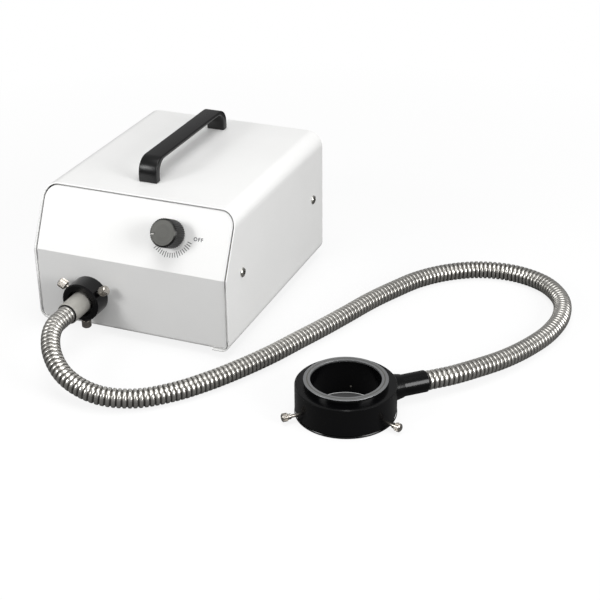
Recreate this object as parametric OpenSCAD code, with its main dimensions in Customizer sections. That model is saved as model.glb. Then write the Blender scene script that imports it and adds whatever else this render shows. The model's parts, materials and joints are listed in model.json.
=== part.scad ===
// Fibre optic illuminator: a lamp case with a metal-hosed light guide and a ring head.
// Millimetres, +Z up, bench at z = 0. The case's front faces -Y.

/* [Layout] */
// Middle of the case across the bench
case_x = -88; // [-95:0.5:-80]
// Front edge of the case along the bench
case_y = -72; // [-80:0.5:-66]
// Centre of the ring head across the bench
ring_x = 124; // [118:0.5:134]
// Centre of the ring head along the bench
ring_y = -112; // [-120:0.5:-104]
// Direction in which the arm leaves the ring head
arm_turn = 42; // [36:1:48]

/* [Case] */
// Width of the case over its sides
case_w = 184; // [180:1:210]
// Depth of the case from the front edge to the rear edge
case_d = 220; // [216:1:250]
// Height of the case without its feet
case_h = 121; // [118:1:140]
// Height of the upright part of the front
crease_h = 67.5; // [64:0.5:72]
// How far the upper front leans back
lean_back = 27; // [20:0.5:34]
// Outer radius of the long top bends
top_r = 14; // [9:0.5:18]
// Outer radius of the long bottom bends
bottom_r = 8; // [6:0.5:10]
// Thickness of the cover's sheet
cover_t = 1.2; // [0.8:0.1:1.6]
// Width of the cover's flat lip under the base
return_w = 8; // [5:0.5:9]
// Thickness of the chassis and rear panel sheet
chassis_t = 1.5; // [1:0.1:2]
// Gap between the panels and the cover around them
panel_gap = 1.4; // [1:0.1:1.8]
// How far the panels sit inside the cover's edges
panel_inset = 1; // [0.6:0.1:2]
// Outer radius of the bend at the foot of the front
fold_r = 3; // [2.2:0.1:4]
// Depth of the stiffening lip at the top of the front
top_lip = 12; // [6:0.5:16]
// Height of the cover screws above the case's underside
cover_screw_h = 62; // [56:0.5:66]
// Distance of the front cover screws behind the front edge
cover_screw_front = 32; // [28:0.5:40]
// Distance of the rear cover screws from the rear edge
cover_screw_rear = 25; // [20:0.5:32]
// Number of air slots in the base
vent_count = 6; // [4:1:7]
// Width of an air slot
vent_w = 4; // [3:0.5:5]
// Length of an air slot
vent_len = 46; // [30:1:50]
// Distance from one air slot to the next
vent_pitch = 9; // [8:0.5:9.5]

/* [Feet] */
// Height of a foot below the case
foot_h = 6.4; // [5.5:0.1:9]
// Diameter of a foot
foot_d = 18; // [14:0.5:19]
// Distance of the feet from the sides of the case
foot_side = 26; // [25.5:0.5:32]
// Distance of the feet from the front and rear edges
foot_end = 28; // [24:0.5:32]

/* [Handle] */
// Middle of the handle from the middle of the case
handle_x = -4.5; // [-8:0.5:8]
// Front of the handle behind the front edge
handle_front = 53.5; // [50:0.5:60]
// Length of the handle
handle_len = 144.5; // [120:0.5:150]
// Width of the handle
handle_w = 16.5; // [13:0.5:20]
// Height of the handle above the cover
handle_h = 21; // [18:0.5:40]
// Thickness of the handle's legs
handle_leg = 8; // [7:0.5:10]
// Thickness of the handle's bar
handle_bar = 3.6; // [3:0.1:6]
// Outer radius of the handle's bends
handle_r = 13; // [8:0.5:14]
// Rounding of the handle's edges
handle_edge = 1.4; // [0.5:0.1:2.5]

/* [Light socket] */
// Middle of the light socket from the middle of the case
guide_x = -40; // [-44:0.5:-38]
// Height of the light's axis above the case's underside
guide_h = 31.6; // [31:0.1:36]
// Diameter of the nosepiece
nose_d = 37; // [34:0.5:40]
// Length of the nosepiece in front of the case's front edge
nose_len = 17; // [15:0.5:22]
// Diameter of the nosepiece's threaded spigot
spigot_d = 26; // [24:0.5:28]
// Length of the spigot behind the front edge
spigot_len = 14; // [12:0.5:16]
// Thickness of the spigot's nut
nose_nut_t = 4; // [3:0.5:6]
// Size of the nosepiece's outer chamfer
nose_chamfer = 1.8; // [0.5:0.1:2.5]

/* [Light guide] */
// Diameter of the guide's ferrule
ferrule_d = 18.8; // [17:0.1:20]
// Length of the ferrule in front of the case's front edge
ferrule_out = 38; // [34:0.5:42]
// Depth of the ferrule behind the case's front edge
ferrule_in = 9; // [6:0.5:10]
// Length of the dark ring at the ferrule's end
crimp_len = 1.4; // [1:0.1:3]
// Diameter of the fibre bundle
bundle_d = 9.2; // [8:0.1:9.6]
// Outer diameter of the hose over its ribs
hose_d = 16; // [15:0.1:17]
// Depth of the grooves between the ribs
hose_groove = 1; // [0.5:0.1:1.2]
// Inner diameter of the hose
hose_bore = 11.8; // [11:0.1:12]
// Number of ribs on the hose
hose_ribs = 200; // [160:2:200]

/* [Ring head] */
// Diameter of the ring head's body
ring_d = 81.5; // [79:0.5:88]
// Height of the body up to its shoulder
ring_h = 26; // [24:0.5:30]
// Diameter of the neck round the light ring
neck_d = 67.5; // [66:0.5:70]
// Height of the neck above the shoulder
neck_h = 4.5; // [2:0.5:8]
// Bore for the objective
ring_bore = 57; // [54:0.5:58]
// Wall of the inner sleeve at the light ring
sleeve_t = 1.9; // [1.2:0.1:2.1]
// Radial width of the light ring's fibres
fibre_w = 0.9; // [0.6:0.1:1.2]
// Thickness of the body's outer wall
ring_wall = 3.2; // [2.5:0.1:4]
// Height of the solid foot under the fibre chamber
ring_floor = 9; // [8:0.5:10]
// Height of the body's bottom chamfer
ring_chamfer = 3.4; // [1:0.1:3.6]
// Diameter of the arm tube
arm_d = 18; // [17:0.5:19]
// Reach of the arm tube from the ring's centre
arm_reach = 70; // [60:0.5:80]
// Height of the arm's axis above the bench
arm_z = 13; // [12.5:0.1:14]
// Length of the tapered boss round the arm
boss_len = 7; // [4:0.5:10]

/* [Thumbscrews] */
// Thread diameter of the light socket's screws
socket_thread = 4; // [3:0.5:5]
// Head diameter of the light socket's screws
socket_head_d = 8.4; // [7:0.1:10]
// Head length of the light socket's screws
socket_head_len = 7.6; // [5:0.1:9]
// Distance of the socket screws in front of the case's front edge
socket_screw_y = 9; // [7:0.5:9.5]
// Thread diameter of the ring head's screws
ring_thread = 3; // [2.5:0.5:4]
// Head diameter of the ring head's screws
ring_head_d = 7; // [5.5:0.1:8]
// Head length of the ring head's screws
ring_head_len = 6.6; // [5:0.1:9]
// Bare length of the ring screws outside the body
ring_screw_out = 6.6; // [6:0.1:9]
// Height of the ring screws above the bench
ring_screw_z = 5.6; // [4.6:0.1:5.8]

/* [Knob] */
// Middle of the knob from the middle of the case
knob_x = 36; // [20:0.5:44]
// Distance of the knob's centre up the slope
knob_up = 32; // [26:0.5:36]
// Diameter of the knob
knob_d = 24.6; // [22:0.2:28]
// Height of the knob's face above the panel
knob_h = 18.6; // [14:0.2:22]
// Number of ribs round the knob
knob_ribs = 40; // [24:1:48]
// Depth of the grooves between the knob's ribs
knob_rib_depth = 0.5; // [0.3:0.1:1]
// Clear gap between the knob and the panel
knob_gap = 1; // [0.6:0.1:2]
// Thickness of the metal face disc
disc_t = 1.4; // [1:0.1:2]
// Diameter of the dimmer's shaft
shaft_d = 6; // [5:0.5:6.4]
// Diameter of the dimmer's bushing
bushing_d = 9.4; // [8.6:0.1:10]
// Diameter of the dimmer's body
pot_d = 24; // [20:0.5:26]
// Depth of the dimmer's body
pot_h = 11; // [8:0.5:14]

/* [Fan] */
// Middle of the fan from the middle of the case
fan_x = -40; // [-44:0.5:-36]
// Height of the fan's axis above the case's underside
fan_up = 58; // [52:0.5:62]
// Width of the fan's square frame
fan_w = 80; // [78:0.5:84]
// Depth of the fan's frame
fan_t = 25; // [23:0.5:27]
// Diameter of the fan's duct
duct_d = 76; // [72:0.5:77]
// Distance between the fan's screw holes
fan_pitch = 71.5; // [70:0.5:72.5]
// Diameter of the rotor's hub
hub_d = 31; // [26:0.5:34]
// Running gap at the blade tips
tip_gap = 1; // [0.6:0.1:2]
// Number of blades
blade_count = 7; // [5:1:9]
// Thickness of a blade
blade_t = 1.2; // [0.8:0.1:1.6]
// Diameter of the guard's wire
wire_d = 1.8; // [1.4:0.1:2]
// Number of rings in the guard
guard_rings = 4; // [3:1:5]
// Distance between the guard's rings
guard_pitch = 8.6; // [7:0.1:9]

/* [Mains inlet] */
// Middle of the inlet from the middle of the case
inlet_x = 50; // [44:0.5:54]
// Height of the inlet's middle above the case's underside
inlet_up = 34; // [28:0.5:44]
// Width of the inlet's flange
inlet_flange_w = 50; // [48:0.5:54]
// Height of the inlet's flange
inlet_flange_h = 31; // [30:0.5:36]
// Thickness of the inlet's flange
inlet_flange_t = 3; // [2:0.5:4]
// Depth of the inlet's body behind the panel
inlet_depth = 28; // [27:0.5:32]
// Width and height of the inlet's body
inlet_body = 27.6; // [27:0.2:29]
// Width of the plug recess
recess_w = 24.2; // [23.6:0.2:25]
// Height of the plug recess
recess_h = 16.4; // [16:0.2:17]
// Depth of the plug recess
recess_depth = 16; // [14:0.5:18]
// Width of the fuse drawer
drawer_w = 19.6; // [18:0.2:22]
// Height of the fuse drawer
drawer_h = 7.6; // [7:0.2:8]
// Depth of the fuse drawer
drawer_len = 26; // [25:0.5:28]

/* [Lamp] */
// Diameter of the lamp's reflector
lamp_d = 50; // [46:0.5:51]
// Distance of the reflector's rim behind the front edge
lamp_front = 44.5; // [42:0.5:50]
// Depth of the reflector
reflector_depth = 24; // [20:0.5:28]
// Wall of the reflector
reflector_t = 2; // [1.2:0.1:2.4]
// Side of the square heat filter
filter_w = 44; // [42:0.5:46]
// Thickness of the heat filter
filter_t = 3; // [2:0.5:4]
// Distance from the heat filter's back to the reflector's rim
filter_back = 16; // [13:0.5:18]
// Thickness of the lamp bracket's sheet
bracket_t = 1.5; // [1:0.1:2]
// Width of the lamp bracket
bracket_w = 66; // [62:0.5:68]

/* [Transformer] */
// Middle of the transformer from the middle of the case
core_x = 40; // [38:0.5:41]
// Middle of the transformer behind the front edge
core_y = 125; // [115:0.5:132]
// Width of the iron core
core_w = 72; // [66:0.5:76]
// Height of the iron core
core_h = 60; // [54:0.5:66]
// Depth of the core's stack of sheets
core_stack = 38; // [30:0.5:44]
// Width of the core's outer legs
core_leg = 12; // [10:0.5:13]
// Overhang of the winding at each end of the stack
coil_out = 13; // [8:0.5:16]

/* [Dimmer board] */
// Middle of the board from the middle of the case
board_x = -44; // [-46:0.5:-40]
// Middle of the board behind the front edge
board_y = 146; // [142:0.5:152]
// Width of the board
board_w = 66; // [60:0.5:68]
// Depth of the board
board_d = 64; // [56:0.5:68]
// Thickness of the board
board_t = 1.6; // [1:0.1:2.4]
// Height of the posts under the board
post_h = 8; // [6:0.5:12]
// Number of fins on the heat sink
fin_count = 7; // [5:1:8]

/* [Screws] */
// Head diameter of the case screws
screw_head_d = 6; // [5:0.1:6.4]
// Head height of the case screws
screw_head_h = 1.9; // [1.4:0.1:2.4]
// Thread diameter of the case screws
screw_d = 3; // [2.5:0.1:3.4]

/* [Fits] */
// Radial clearance of a shaft or sliding thread
run_gap = 0.05; // [0.02:0.01:0.09]
// Clearance between flat sheets that face each other
sheet_gap = 0.1; // [0.05:0.05:0.3]
// Clearance round the fuse drawer
drawer_gap = 0.2; // [0.1:0.05:0.3]

/* [Hidden] */
$fn = 96;

// Sheet-metal case
lean = atan2(lean_back, case_h - crease_h);
top_z = foot_h + case_h;
crease_z = foot_h + crease_h;
base_z = foot_h + cover_t;
floor_z = base_z + chassis_t;
panel_w = case_w - 2 * (cover_t + panel_gap);
panel_top = top_z - cover_t - panel_gap;
panel_top_r = top_r - cover_t - panel_gap;
panel_bottom_r = bottom_r - cover_t - panel_gap;
inner_side = case_w / 2 - cover_t - sheet_gap;
rear_out = case_d - panel_inset;
rear_in = rear_out - chassis_t;
cover_screw_z = foot_h + cover_screw_h;
cover_screw_ys = [cover_screw_front, case_d - cover_screw_rear];
ear_margin = 8;
rear_flange = 12;
rear_screw_xs = [-case_w / 2 + 22, 2, case_w / 2 - 22];
cut = 1;

// Feet
foot_xs = [foot_side - case_w / 2, case_w / 2 - foot_side];
foot_ys = [foot_end, case_d - foot_end];
foot_screw_deep = 3;

// Handle
handle_mid = handle_front + handle_len / 2;
handle_screw_ys = [handle_front + handle_leg / 2, handle_front + handle_len - handle_leg / 2];
handle_screw_r = 2;
handle_screw_len = 9;

// Light socket and guide
guide_z = foot_h + guide_h;
nose_bore = ferrule_d + 2 * run_gap;
nose_lip = 15;
socket_turns = [150, 30, 270];
socket_tip = ferrule_d / 2 + 0.3;
socket_head_at = nose_d / 2 + 0.8;
bundle_bore = bundle_d + 0.8;

// Ring head: radii and heights of its chamber
ring_top = ring_h + neck_h;
sleeve_r = ring_bore / 2 + sleeve_t;
lip_in_r = sleeve_r + fibre_w;
seat_r = lip_in_r - 0.3;
chamber_r = ring_d / 2 - ring_wall;
chamber_top = ring_h - 6;
arm_seat = ring_d / 2 - ring_wall + 1.2;
ring_screw_turns = [60, 180, 300];
ring_tip = ring_bore / 2 + 0.2;
ring_head_at = ring_d / 2 + ring_screw_out;

// Knob on the slope
nut_t = 2.4;
bushing_out = 6;
knob_recess_d = bushing_d + 9;
disc_d = knob_d - 2 * knob_rib_depth - 0.8;

// Fan
fan_z = foot_h + fan_up;
hub_plate_t = 3.5;
hub_wall = 2;
pin_r = 1.5;
rotor_lo = 3;
rotor_hi = fan_t - hub_plate_t - 1;
blade_r = 25;
blade_half = 8;

// Mains inlet
inlet_z = foot_h + inlet_up;
inlet_pitch = 40;
recess_mid = 4.5;
drawer_mid = -9.2;
blade_w = 2;
blade_tall = 4;
fuse_d = 5;
fuse_len = 20;

// Lamp
filter_front = lamp_front - filter_back - filter_t;
lamp_neck = 9;
lamp_neck_len = 14;
lamp_socket_len = 14;
bracket_foot_x = bracket_w / 2 - 6;
bracket_foot_y = lamp_front - 6;

// Transformer
strap_t = 1.5;
strap_foot = 8;
coil_gap = 0.4;

// Route of the hose from the ferrule to the arm, chosen by hand
ROUTE = [[-117, -156, 32], [-94, -175, 21], [-64, -179, 12.5], [-35, -168, 8.6],
    [-10, -146, 8], [9, -120, 8], [25, -92, 8], [39, -63, 8], [51, -33, 8],
    [63, -3, 8], [74, 27, 8], [85, 58, 8], [98, 87, 8], [113, 115, 8],
    [135, 139, 8], [163, 155, 8], [195, 158, 8], [225, 146, 8], [245, 121, 8],
    [252, 90, 8], [249, 58, 8], [239, 27, 8.6], [225, -3, 10], [208, -30, 12]];
hose_sides = 8;
hose_start = [case_x + guide_x, case_y - ferrule_out, guide_z];
hose_end = [ring_x + arm_reach * cos(arm_turn), ring_y + arm_reach * sin(arm_turn), arm_z];
start_dir = [0, -1, 0];
end_dir = [-cos(arm_turn), -sin(arm_turn), 0];
knots = concat([hose_start + hose_d * start_dir], ROUTE, [hose_end - hose_d * end_dir]);
spans = len(knots) - 1;
end_ribs = 4;

function unit(v) = v / norm(v);

// Direction and speed of the route at knot i
function knot_speed(i) =
    i == 0 ? norm(knots[1] - knots[0]) * start_dir :
    i == spans ? norm(knots[spans] - knots[spans - 1]) * end_dir :
    (knots[i + 1] - knots[i - 1]) / 2;

// Smooth curve through knots i and i + 1, at f from 0 to 1
function between(i, f) =
    (2 * pow(f, 3) - 3 * pow(f, 2) + 1) * knots[i]
    + (pow(f, 3) - 2 * pow(f, 2) + f) * knot_speed(i)
    + (3 * pow(f, 2) - 2 * pow(f, 3)) * knots[i + 1]
    + (pow(f, 3) - pow(f, 2)) * knot_speed(i + 1);

// Keeps a hose of this size on the bench
function on_bench(p) = [p[0], p[1], max(p[2], hose_d / 2)];

// Point of the route at rib w; its ends run straight for one hose diameter
function route_at(w) =
    w <= end_ribs ? hose_start + hose_d * w / end_ribs * start_dir :
    w >= hose_ribs - end_ribs ? hose_end - hose_d * (hose_ribs - w) / end_ribs * end_dir :
    let (u = (w - end_ribs) / (hose_ribs - 2 * end_ribs) * spans, i = min(floor(u), spans - 1))
    on_bench(between(i, u - i));

function route_dir(w) =
    w <= end_ribs ? start_dir :
    w >= hose_ribs - end_ribs ? end_dir :
    unit(route_at(w + 0.25) - route_at(w - 0.25));

// Ring of points of radius r round the route at rib w
function route_ring(w, r) =
    let (t = route_dir(w), side = unit(cross(t, [0, 0, 1])), up = cross(side, t), p = route_at(w))
    [for (k = [0:hose_sides - 1]) let (a = 360 * (k + 0.5) / hose_sides)
        p + r * cos(a) * side + r * sin(a) * up];

// Triangles of a tube wall whose rings start at point number first
function wall_faces(first, rings) = [for (j = [0:rings - 2], k = [0:hose_sides - 1])
    let (a = first + j * hose_sides + k, b = first + j * hose_sides + (k + 1) % hose_sides)
    each [[a, b, b + hose_sides], [a, b + hose_sides, a + hose_sides]]];

function flip(faces) = [for (f = faces) [f[0], f[2], f[1]]];

module in_case() { translate([case_x, case_y, 0]) children(); }

module in_ring() { translate([ring_x, ring_y, 0]) rotate([0, 0, arm_turn]) children(); }

// Extrudes an x, z outline from y0 to y1
module along_y(y0, y1) { translate([0, y1, 0]) rotate([90, 0, 0]) linear_extrude(y1 - y0) children(); }

// Extrudes a y, z outline from x0 to x1
module along_x(x0, x1) { translate([x0, 0, 0]) rotate([90, 0, 90]) linear_extrude(x1 - x0) children(); }

// The light's axis: +Z runs out of the front
module on_guide() { in_case() translate([guide_x, 0, guide_z]) rotate([90, 0, 0]) children(); }

// The light's axis: +Z runs back into the case
module on_beam() { in_case() translate([guide_x, 0, guide_z]) rotate([90, 0, 180]) children(); }

// The upper front at the knob: +Z is its outward normal
module on_slope() {
    in_case()
        translate([knob_x, knob_up * sin(lean) + panel_inset * cos(lean),
            crease_z + knob_up * cos(lean) - panel_inset * sin(lean)])
        rotate([90 - lean, 0, 0])
        children();
}

// The rear panel's inner face at the fan: +Z runs into the case
module on_fan() { in_case() translate([fan_x, rear_in, fan_z]) rotate([90, 0, 0]) children(); }

// The rear panel's outer face at the inlet: +Z runs out of the rear
module on_inlet() { in_case() translate([inlet_x, rear_out, inlet_z]) rotate([90, 0, 180]) children(); }

// Upright outline with round corners, standing on the x axis
module outline(w, h, upper_r, lower_r) {
    translate([lower_r - w / 2, 0]) square([w - 2 * lower_r, h - upper_r]);
    translate([-w / 2, lower_r]) square([w, h - lower_r - upper_r]);
    translate([upper_r - w / 2, h - upper_r - cut]) square([w - 2 * upper_r, upper_r + cut]);
    for (s = [-1, 1]) {
        translate([s * (w / 2 - lower_r), lower_r]) circle(lower_r);
        translate([s * (w / 2 - upper_r), h - upper_r]) circle(upper_r);
    }
}

// Centred rectangle with round corners
module round_rect(w, h, r) {
    square([w - 2 * r, h], center = true);
    square([w, h - 2 * r], center = true);
    for (i = [-1, 1], j = [-1, 1]) translate([i * (w / 2 - r), j * (h / 2 - r)]) circle(r);
}

// Outline with n ribs of depth d on a circle of radius r
module ribbed(r, d, n) {
    polygon([for (k = [0:4 * n - 1]) let (a = 90 * k / n, q = k % 4 < 2 ? r : r - d)
        [q * cos(a), q * sin(a)]]);
}

// Cross-recessed pan-head screw: head up from z = 0, thread down
module pan_screw(head_d, head_h, thread_d, length) {
    dome_r = (pow(head_d / 2, 2) + pow(head_h, 2)) / (2 * head_h);
    difference() {
        intersection() {
            cylinder(h = head_h, d = head_d);
            translate([0, 0, head_h - dome_r * 1.25]) sphere(dome_r * 1.25);
        }
        for (a = [0, 90]) rotate([0, 0, a])
            translate([-head_d * 0.28, -head_d * 0.07, head_h * 0.45])
            cube([head_d * 0.56, head_d * 0.14, head_h]);
    }
    translate([0, 0, -length]) cylinder(h = length + head_h * 0.2, d = thread_d);
}

module case_screw(length) { pan_screw(screw_head_d, screw_head_h, screw_d, length); }

// Knurled thumbscrew along +Z, its tip at tip_at and its head from head_at
module thumb_screw(thread_d, tip_at, head_at, head_d, head_len) {
    tip_len = thread_d / 4;
    edge = head_d / 12;
    translate([0, 0, tip_at]) cylinder(h = tip_len, d1 = thread_d * 0.6, d2 = thread_d - 2 * run_gap);
    translate([0, 0, tip_at + tip_len])
        cylinder(h = head_at - tip_at - tip_len + head_len / 2, d = thread_d - 2 * run_gap);
    translate([0, 0, head_at]) intersection() {
        linear_extrude(head_len) ribbed(head_d / 2, head_d * 0.04, 16);
        chamfered(head_d / 2, head_len, edge, edge);
    }
}

// Cylinder with chamfered ends, cut so that it clears ribs of radius r between them
module chamfered(r, h, lower, upper) {
    rotate_extrude() polygon([[0, 0], [r - lower, 0], [r + lower, 2 * lower],
        [r + upper, h - 2 * upper], [r - upper, h], [0, h]]);
}

// Insulated wire with round elbows through the points
module wire(points, d) {
    for (i = [0:len(points) - 2])
        let (v = points[i + 1] - points[i], turn = atan2(v[1], v[0]), tilt = acos(v[2] / norm(v)))
        translate(points[i]) rotate([0, tilt, turn]) cylinder(h = norm(v), d = d);
    for (i = [1:len(points) - 2]) translate(points[i]) sphere(d = 1.12 * d);
}

// Case outline seen from the side
module side_profile() {
    polygon([[0, foot_h], [0, crease_z], [lean_back, top_z], [case_d, top_z], [case_d, foot_h]]);
}

// Panel outline that follows the inside of the cover
module panel_outline() {
    translate([0, base_z]) outline(panel_w, panel_top - base_z, panel_top_r, panel_bottom_r);
}

function front_y(z, d) = (z - crease_z) * tan(lean) + d / cos(lean);

// Folded sheet of the base and front seen from the side
module chassis_profile() {
    d1 = panel_inset;
    d2 = panel_inset + chassis_t;
    lip_y = front_y(panel_top, d1);
    bend = [d1 + fold_r, base_z + fold_r];
    polygon(concat(
        [[rear_out, base_z]],
        [for (a = [270:-15:180]) bend + fold_r * [cos(a), sin(a)]],
        [[d1, crease_z - d1 * tan(lean / 2)],
            [lip_y, panel_top],
            [lip_y + top_lip, panel_top],
            [lip_y + top_lip, panel_top - chassis_t],
            [front_y(panel_top - chassis_t, d2), panel_top - chassis_t],
            [d2, crease_z - d2 * tan(lean / 2)]],
        [for (a = [180:15:270]) bend + (fold_r - chassis_t) * [cos(a), sin(a)]],
        [[rear_out, floor_z]]));
}

module cover() {
    color("whitesmoke") in_case() difference() {
        intersection() {
            along_y(0, case_d) translate([0, foot_h]) outline(case_w, case_h, top_r, bottom_r);
            along_x(-case_w / 2, case_w / 2) side_profile();
        }
        along_y(-cut, case_d + cut) translate([0, base_z])
            outline(case_w - 2 * cover_t, case_h - 2 * cover_t, top_r - cover_t, bottom_r - cover_t);
        translate([bottom_r + return_w - case_w / 2, -cut, foot_h - cut])
            cube([case_w - 2 * (bottom_r + return_w), case_d + 2 * cut, cover_t + 2 * cut]);
        for (y = cover_screw_ys) translate([-case_w / 2 - cut, y, cover_screw_z])
            rotate([0, 90, 0]) cylinder(h = case_w + 2 * cut, d = screw_d + 0.6);
        for (y = handle_screw_ys) translate([handle_x, y, top_z - cover_t - cut])
            cylinder(h = cover_t + 2 * cut, r = handle_screw_r + 0.3);
    }
}

// Side plate of the front, relieved below the crease, that takes a cover screw
module gusset_profile() {
    y0 = panel_inset + chassis_t * 0.6;
    y1 = cover_screw_front + ear_margin;
    z1 = cover_screw_z + ear_margin;
    polygon([[y0, base_z + bottom_r], [y0, crease_z - 11], [y0 + 13, crease_z - 11],
        [y0 + 20, z1], [y1, z1], [y1, base_z + bottom_r]]);
}

module chassis() {
    color("gainsboro") in_case() difference() {
        union() {
            intersection() {
                along_x(-panel_w / 2, panel_w / 2) chassis_profile();
                along_y(0, case_d) panel_outline();
            }
            along_x(panel_w / 2 - chassis_t, inner_side) gusset_profile();
            along_x(-inner_side, chassis_t - panel_w / 2) gusset_profile();
        }
        translate([0, cover_screw_front, cover_screw_z]) rotate([0, 90, 0])
            cylinder(h = case_w, d = screw_d + 2 * run_gap, center = true);
        translate([guide_x, -cut, guide_z]) rotate([-90, 0, 0])
            cylinder(h = chassis_t + panel_inset + 2 * cut, d = spigot_d + 2 * sheet_gap);
        dimmer_hole();
        floor_holes();
        for (k = [0:vent_count - 1])
            translate([guide_x + (k - (vent_count - 1) / 2) * vent_pitch - vent_w / 2,
                lamp_front + 8, base_z - cut])
            cube([vent_w, vent_len, chassis_t + 2 * cut]);
    }
}

module dimmer_hole() {
    translate([-case_x, -case_y, 0]) on_slope()
        translate([0, 0, -chassis_t - cut]) cylinder(h = chassis_t + 2 * cut, d = bushing_d + 2 * sheet_gap);
}

// Tapped holes in the base for everything that is screwed down on it
module floor_holes() {
    translate([0, 0, base_z - cut]) {
        for (x = foot_xs, y = foot_ys) translate([x, y, 0]) floor_hole();
        for (x = rear_screw_xs) translate([x, rear_in - rear_flange / 2, 0]) floor_hole();
        for (p = strap_spots()) translate(p) floor_hole();
        for (p = bracket_spots()) translate(p) floor_hole();
        for (p = post_spots()) translate(p) floor_hole();
    }
}

module floor_hole() { cylinder(h = chassis_t + 2 * cut, d = screw_d + 2 * run_gap); }

function strap_spots() = [for (s = [-1, 1])
    [core_x + s * (core_w / 2 + strap_t + strap_foot / 2), core_y, 0]];

function bracket_spots() = [for (s = [-1, 1]) [guide_x + s * bracket_foot_x, bracket_foot_y, 0]];

function post_spots() = [for (i = [-1, 1], j = [-1, 1])
    [board_x + i * (board_w / 2 - 5), board_y + j * (board_d / 2 - 5), 0]];

module rear_panel() {
    color("gainsboro") in_case() difference() {
        union() {
            intersection() {
                along_y(rear_in, rear_out) panel_outline();
                translate([-case_w / 2, 0, floor_z]) cube([case_w, case_d, case_h]);
            }
            translate([10 - case_w / 2, rear_in - rear_flange, floor_z])
                cube([case_w - 20, rear_flange + chassis_t / 2, chassis_t]);
            for (s = [-1, 1]) {
                x0 = s > 0 ? panel_w / 2 - chassis_t : -inner_side;
                translate([x0, cover_screw_ys[1] - ear_margin, cover_screw_z - ear_margin])
                    cube([inner_side - panel_w / 2 + chassis_t,
                        rear_in - cover_screw_ys[1] + ear_margin + chassis_t * 0.4, 2 * ear_margin]);
            }
        }
        translate([0, cover_screw_ys[1], cover_screw_z]) rotate([0, 90, 0])
            cylinder(h = case_w, d = screw_d + 2 * run_gap, center = true);
        for (x = rear_screw_xs) translate([x, rear_in - rear_flange / 2, floor_z - cut])
            cylinder(h = chassis_t + 2 * cut, d = screw_d + 0.6);
        translate([-case_x, -case_y, 0]) on_fan() translate([0, 0, -chassis_t - cut]) {
            cylinder(h = chassis_t + 2 * cut, d = duct_d);
            fan_corners() cylinder(h = chassis_t + 2 * cut, d = 4.3);
        }
        translate([-case_x, -case_y, 0]) on_inlet() translate([0, 0, -chassis_t - cut]) {
            translate([-inlet_body / 2 - sheet_gap, -inlet_body / 2 - sheet_gap, 0])
                cube([inlet_body + 2 * sheet_gap, inlet_body + 2 * sheet_gap, chassis_t + 2 * cut]);
            for (s = [-1, 1]) translate([s * inlet_pitch / 2, 0, 0])
                cylinder(h = chassis_t + 2 * cut, d = screw_d + 2 * run_gap);
        }
    }
}

module cover_screws() {
    color("silver") in_case() for (s = [-1, 1], y = cover_screw_ys)
        translate([s * case_w / 2, y, cover_screw_z]) rotate([0, s * 90, 0])
        case_screw(7);
}

module rear_panel_screws() {
    color("silver") in_case() for (x = rear_screw_xs)
        translate([x, rear_in - rear_flange / 2, floor_z + chassis_t]) case_screw(2 * chassis_t - sheet_gap);
}

module feet() {
    color("dimgray") in_case() for (x = foot_xs, y = foot_ys) translate([x, y, 0])
        rotate_extrude() polygon([[screw_head_d / 2 + 1, 0], [foot_d / 2 - 0.8, 0], [foot_d / 2, 0.8],
            [foot_d / 2 - 1, base_z], [screw_d / 2 + 0.2, base_z], [screw_d / 2 + 0.2, foot_screw_deep],
            [screw_head_d / 2 + 1, foot_screw_deep]]);
}

module foot_screws() {
    color("silver") in_case() for (x = foot_xs, y = foot_ys)
        translate([x, y, foot_screw_deep]) rotate([180, 0, 0])
        case_screw(floor_z - foot_screw_deep - sheet_gap);
}

module handle() {
    color("#2b2b2b") in_case() difference() {
        intersection() {
            along_x(handle_x - handle_w / 2, handle_x + handle_w / 2) difference() {
                translate([handle_mid, top_z]) outline(handle_len, handle_h, handle_r, handle_edge / 4);
                translate([handle_mid, top_z - cut])
                    outline(handle_len - 2 * handle_leg, handle_h - handle_bar + cut,
                        handle_r - handle_bar, handle_edge / 4);
            }
            translate([handle_x, handle_mid, top_z])
                linear_extrude(handle_h) round_rect(handle_w, handle_len, handle_edge);
            along_y(handle_front - cut, handle_front + handle_len + cut)
                translate([handle_x, top_z + handle_h / 2 - handle_edge])
                round_rect(handle_w, handle_h + 2 * handle_edge, handle_edge);
        }
        for (y = handle_screw_ys) translate([handle_x, y, top_z - cut])
            cylinder(h = handle_screw_len + cut, r = handle_screw_r + run_gap);
    }
}

module handle_screws() {
    color("silver") in_case() for (y = handle_screw_ys)
        translate([handle_x, y, top_z - cover_t]) rotate([180, 0, 0])
        pan_screw(3.9 * handle_screw_r, 1.3 * handle_screw_r, 2 * handle_screw_r,
            handle_screw_len - 1 + cover_t);
}

module nosepiece() {
    color("#1c1c1e") on_guide() difference() {
        rotate_extrude() polygon([[nose_bore / 2, nose_len - 1.5], [nose_bore / 2 + 1.5, nose_len],
            [nose_d / 2 - nose_chamfer, nose_len], [nose_d / 2, nose_len - nose_chamfer],
            [nose_d / 2, -panel_inset], [spigot_d / 2, -panel_inset], [spigot_d / 2, -spigot_len],
            [nose_lip / 2, -spigot_len], [nose_lip / 2, -ferrule_in], [nose_bore / 2, -ferrule_in]]);
        for (a = socket_turns) rotate([0, 0, a]) translate([0, 0, socket_screw_y]) rotate([0, 90, 0])
            cylinder(h = nose_d, d = socket_thread);
    }
}

module nosepiece_nut() {
    color("silver") on_guide() translate([0, 0, -panel_inset - chassis_t - nose_nut_t]) difference() {
        cylinder(h = nose_nut_t, d = spigot_d + 12, $fn = 6);
        translate([0, 0, -cut]) cylinder(h = nose_nut_t + 2 * cut, d = spigot_d + 2 * run_gap);
    }
}

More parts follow.
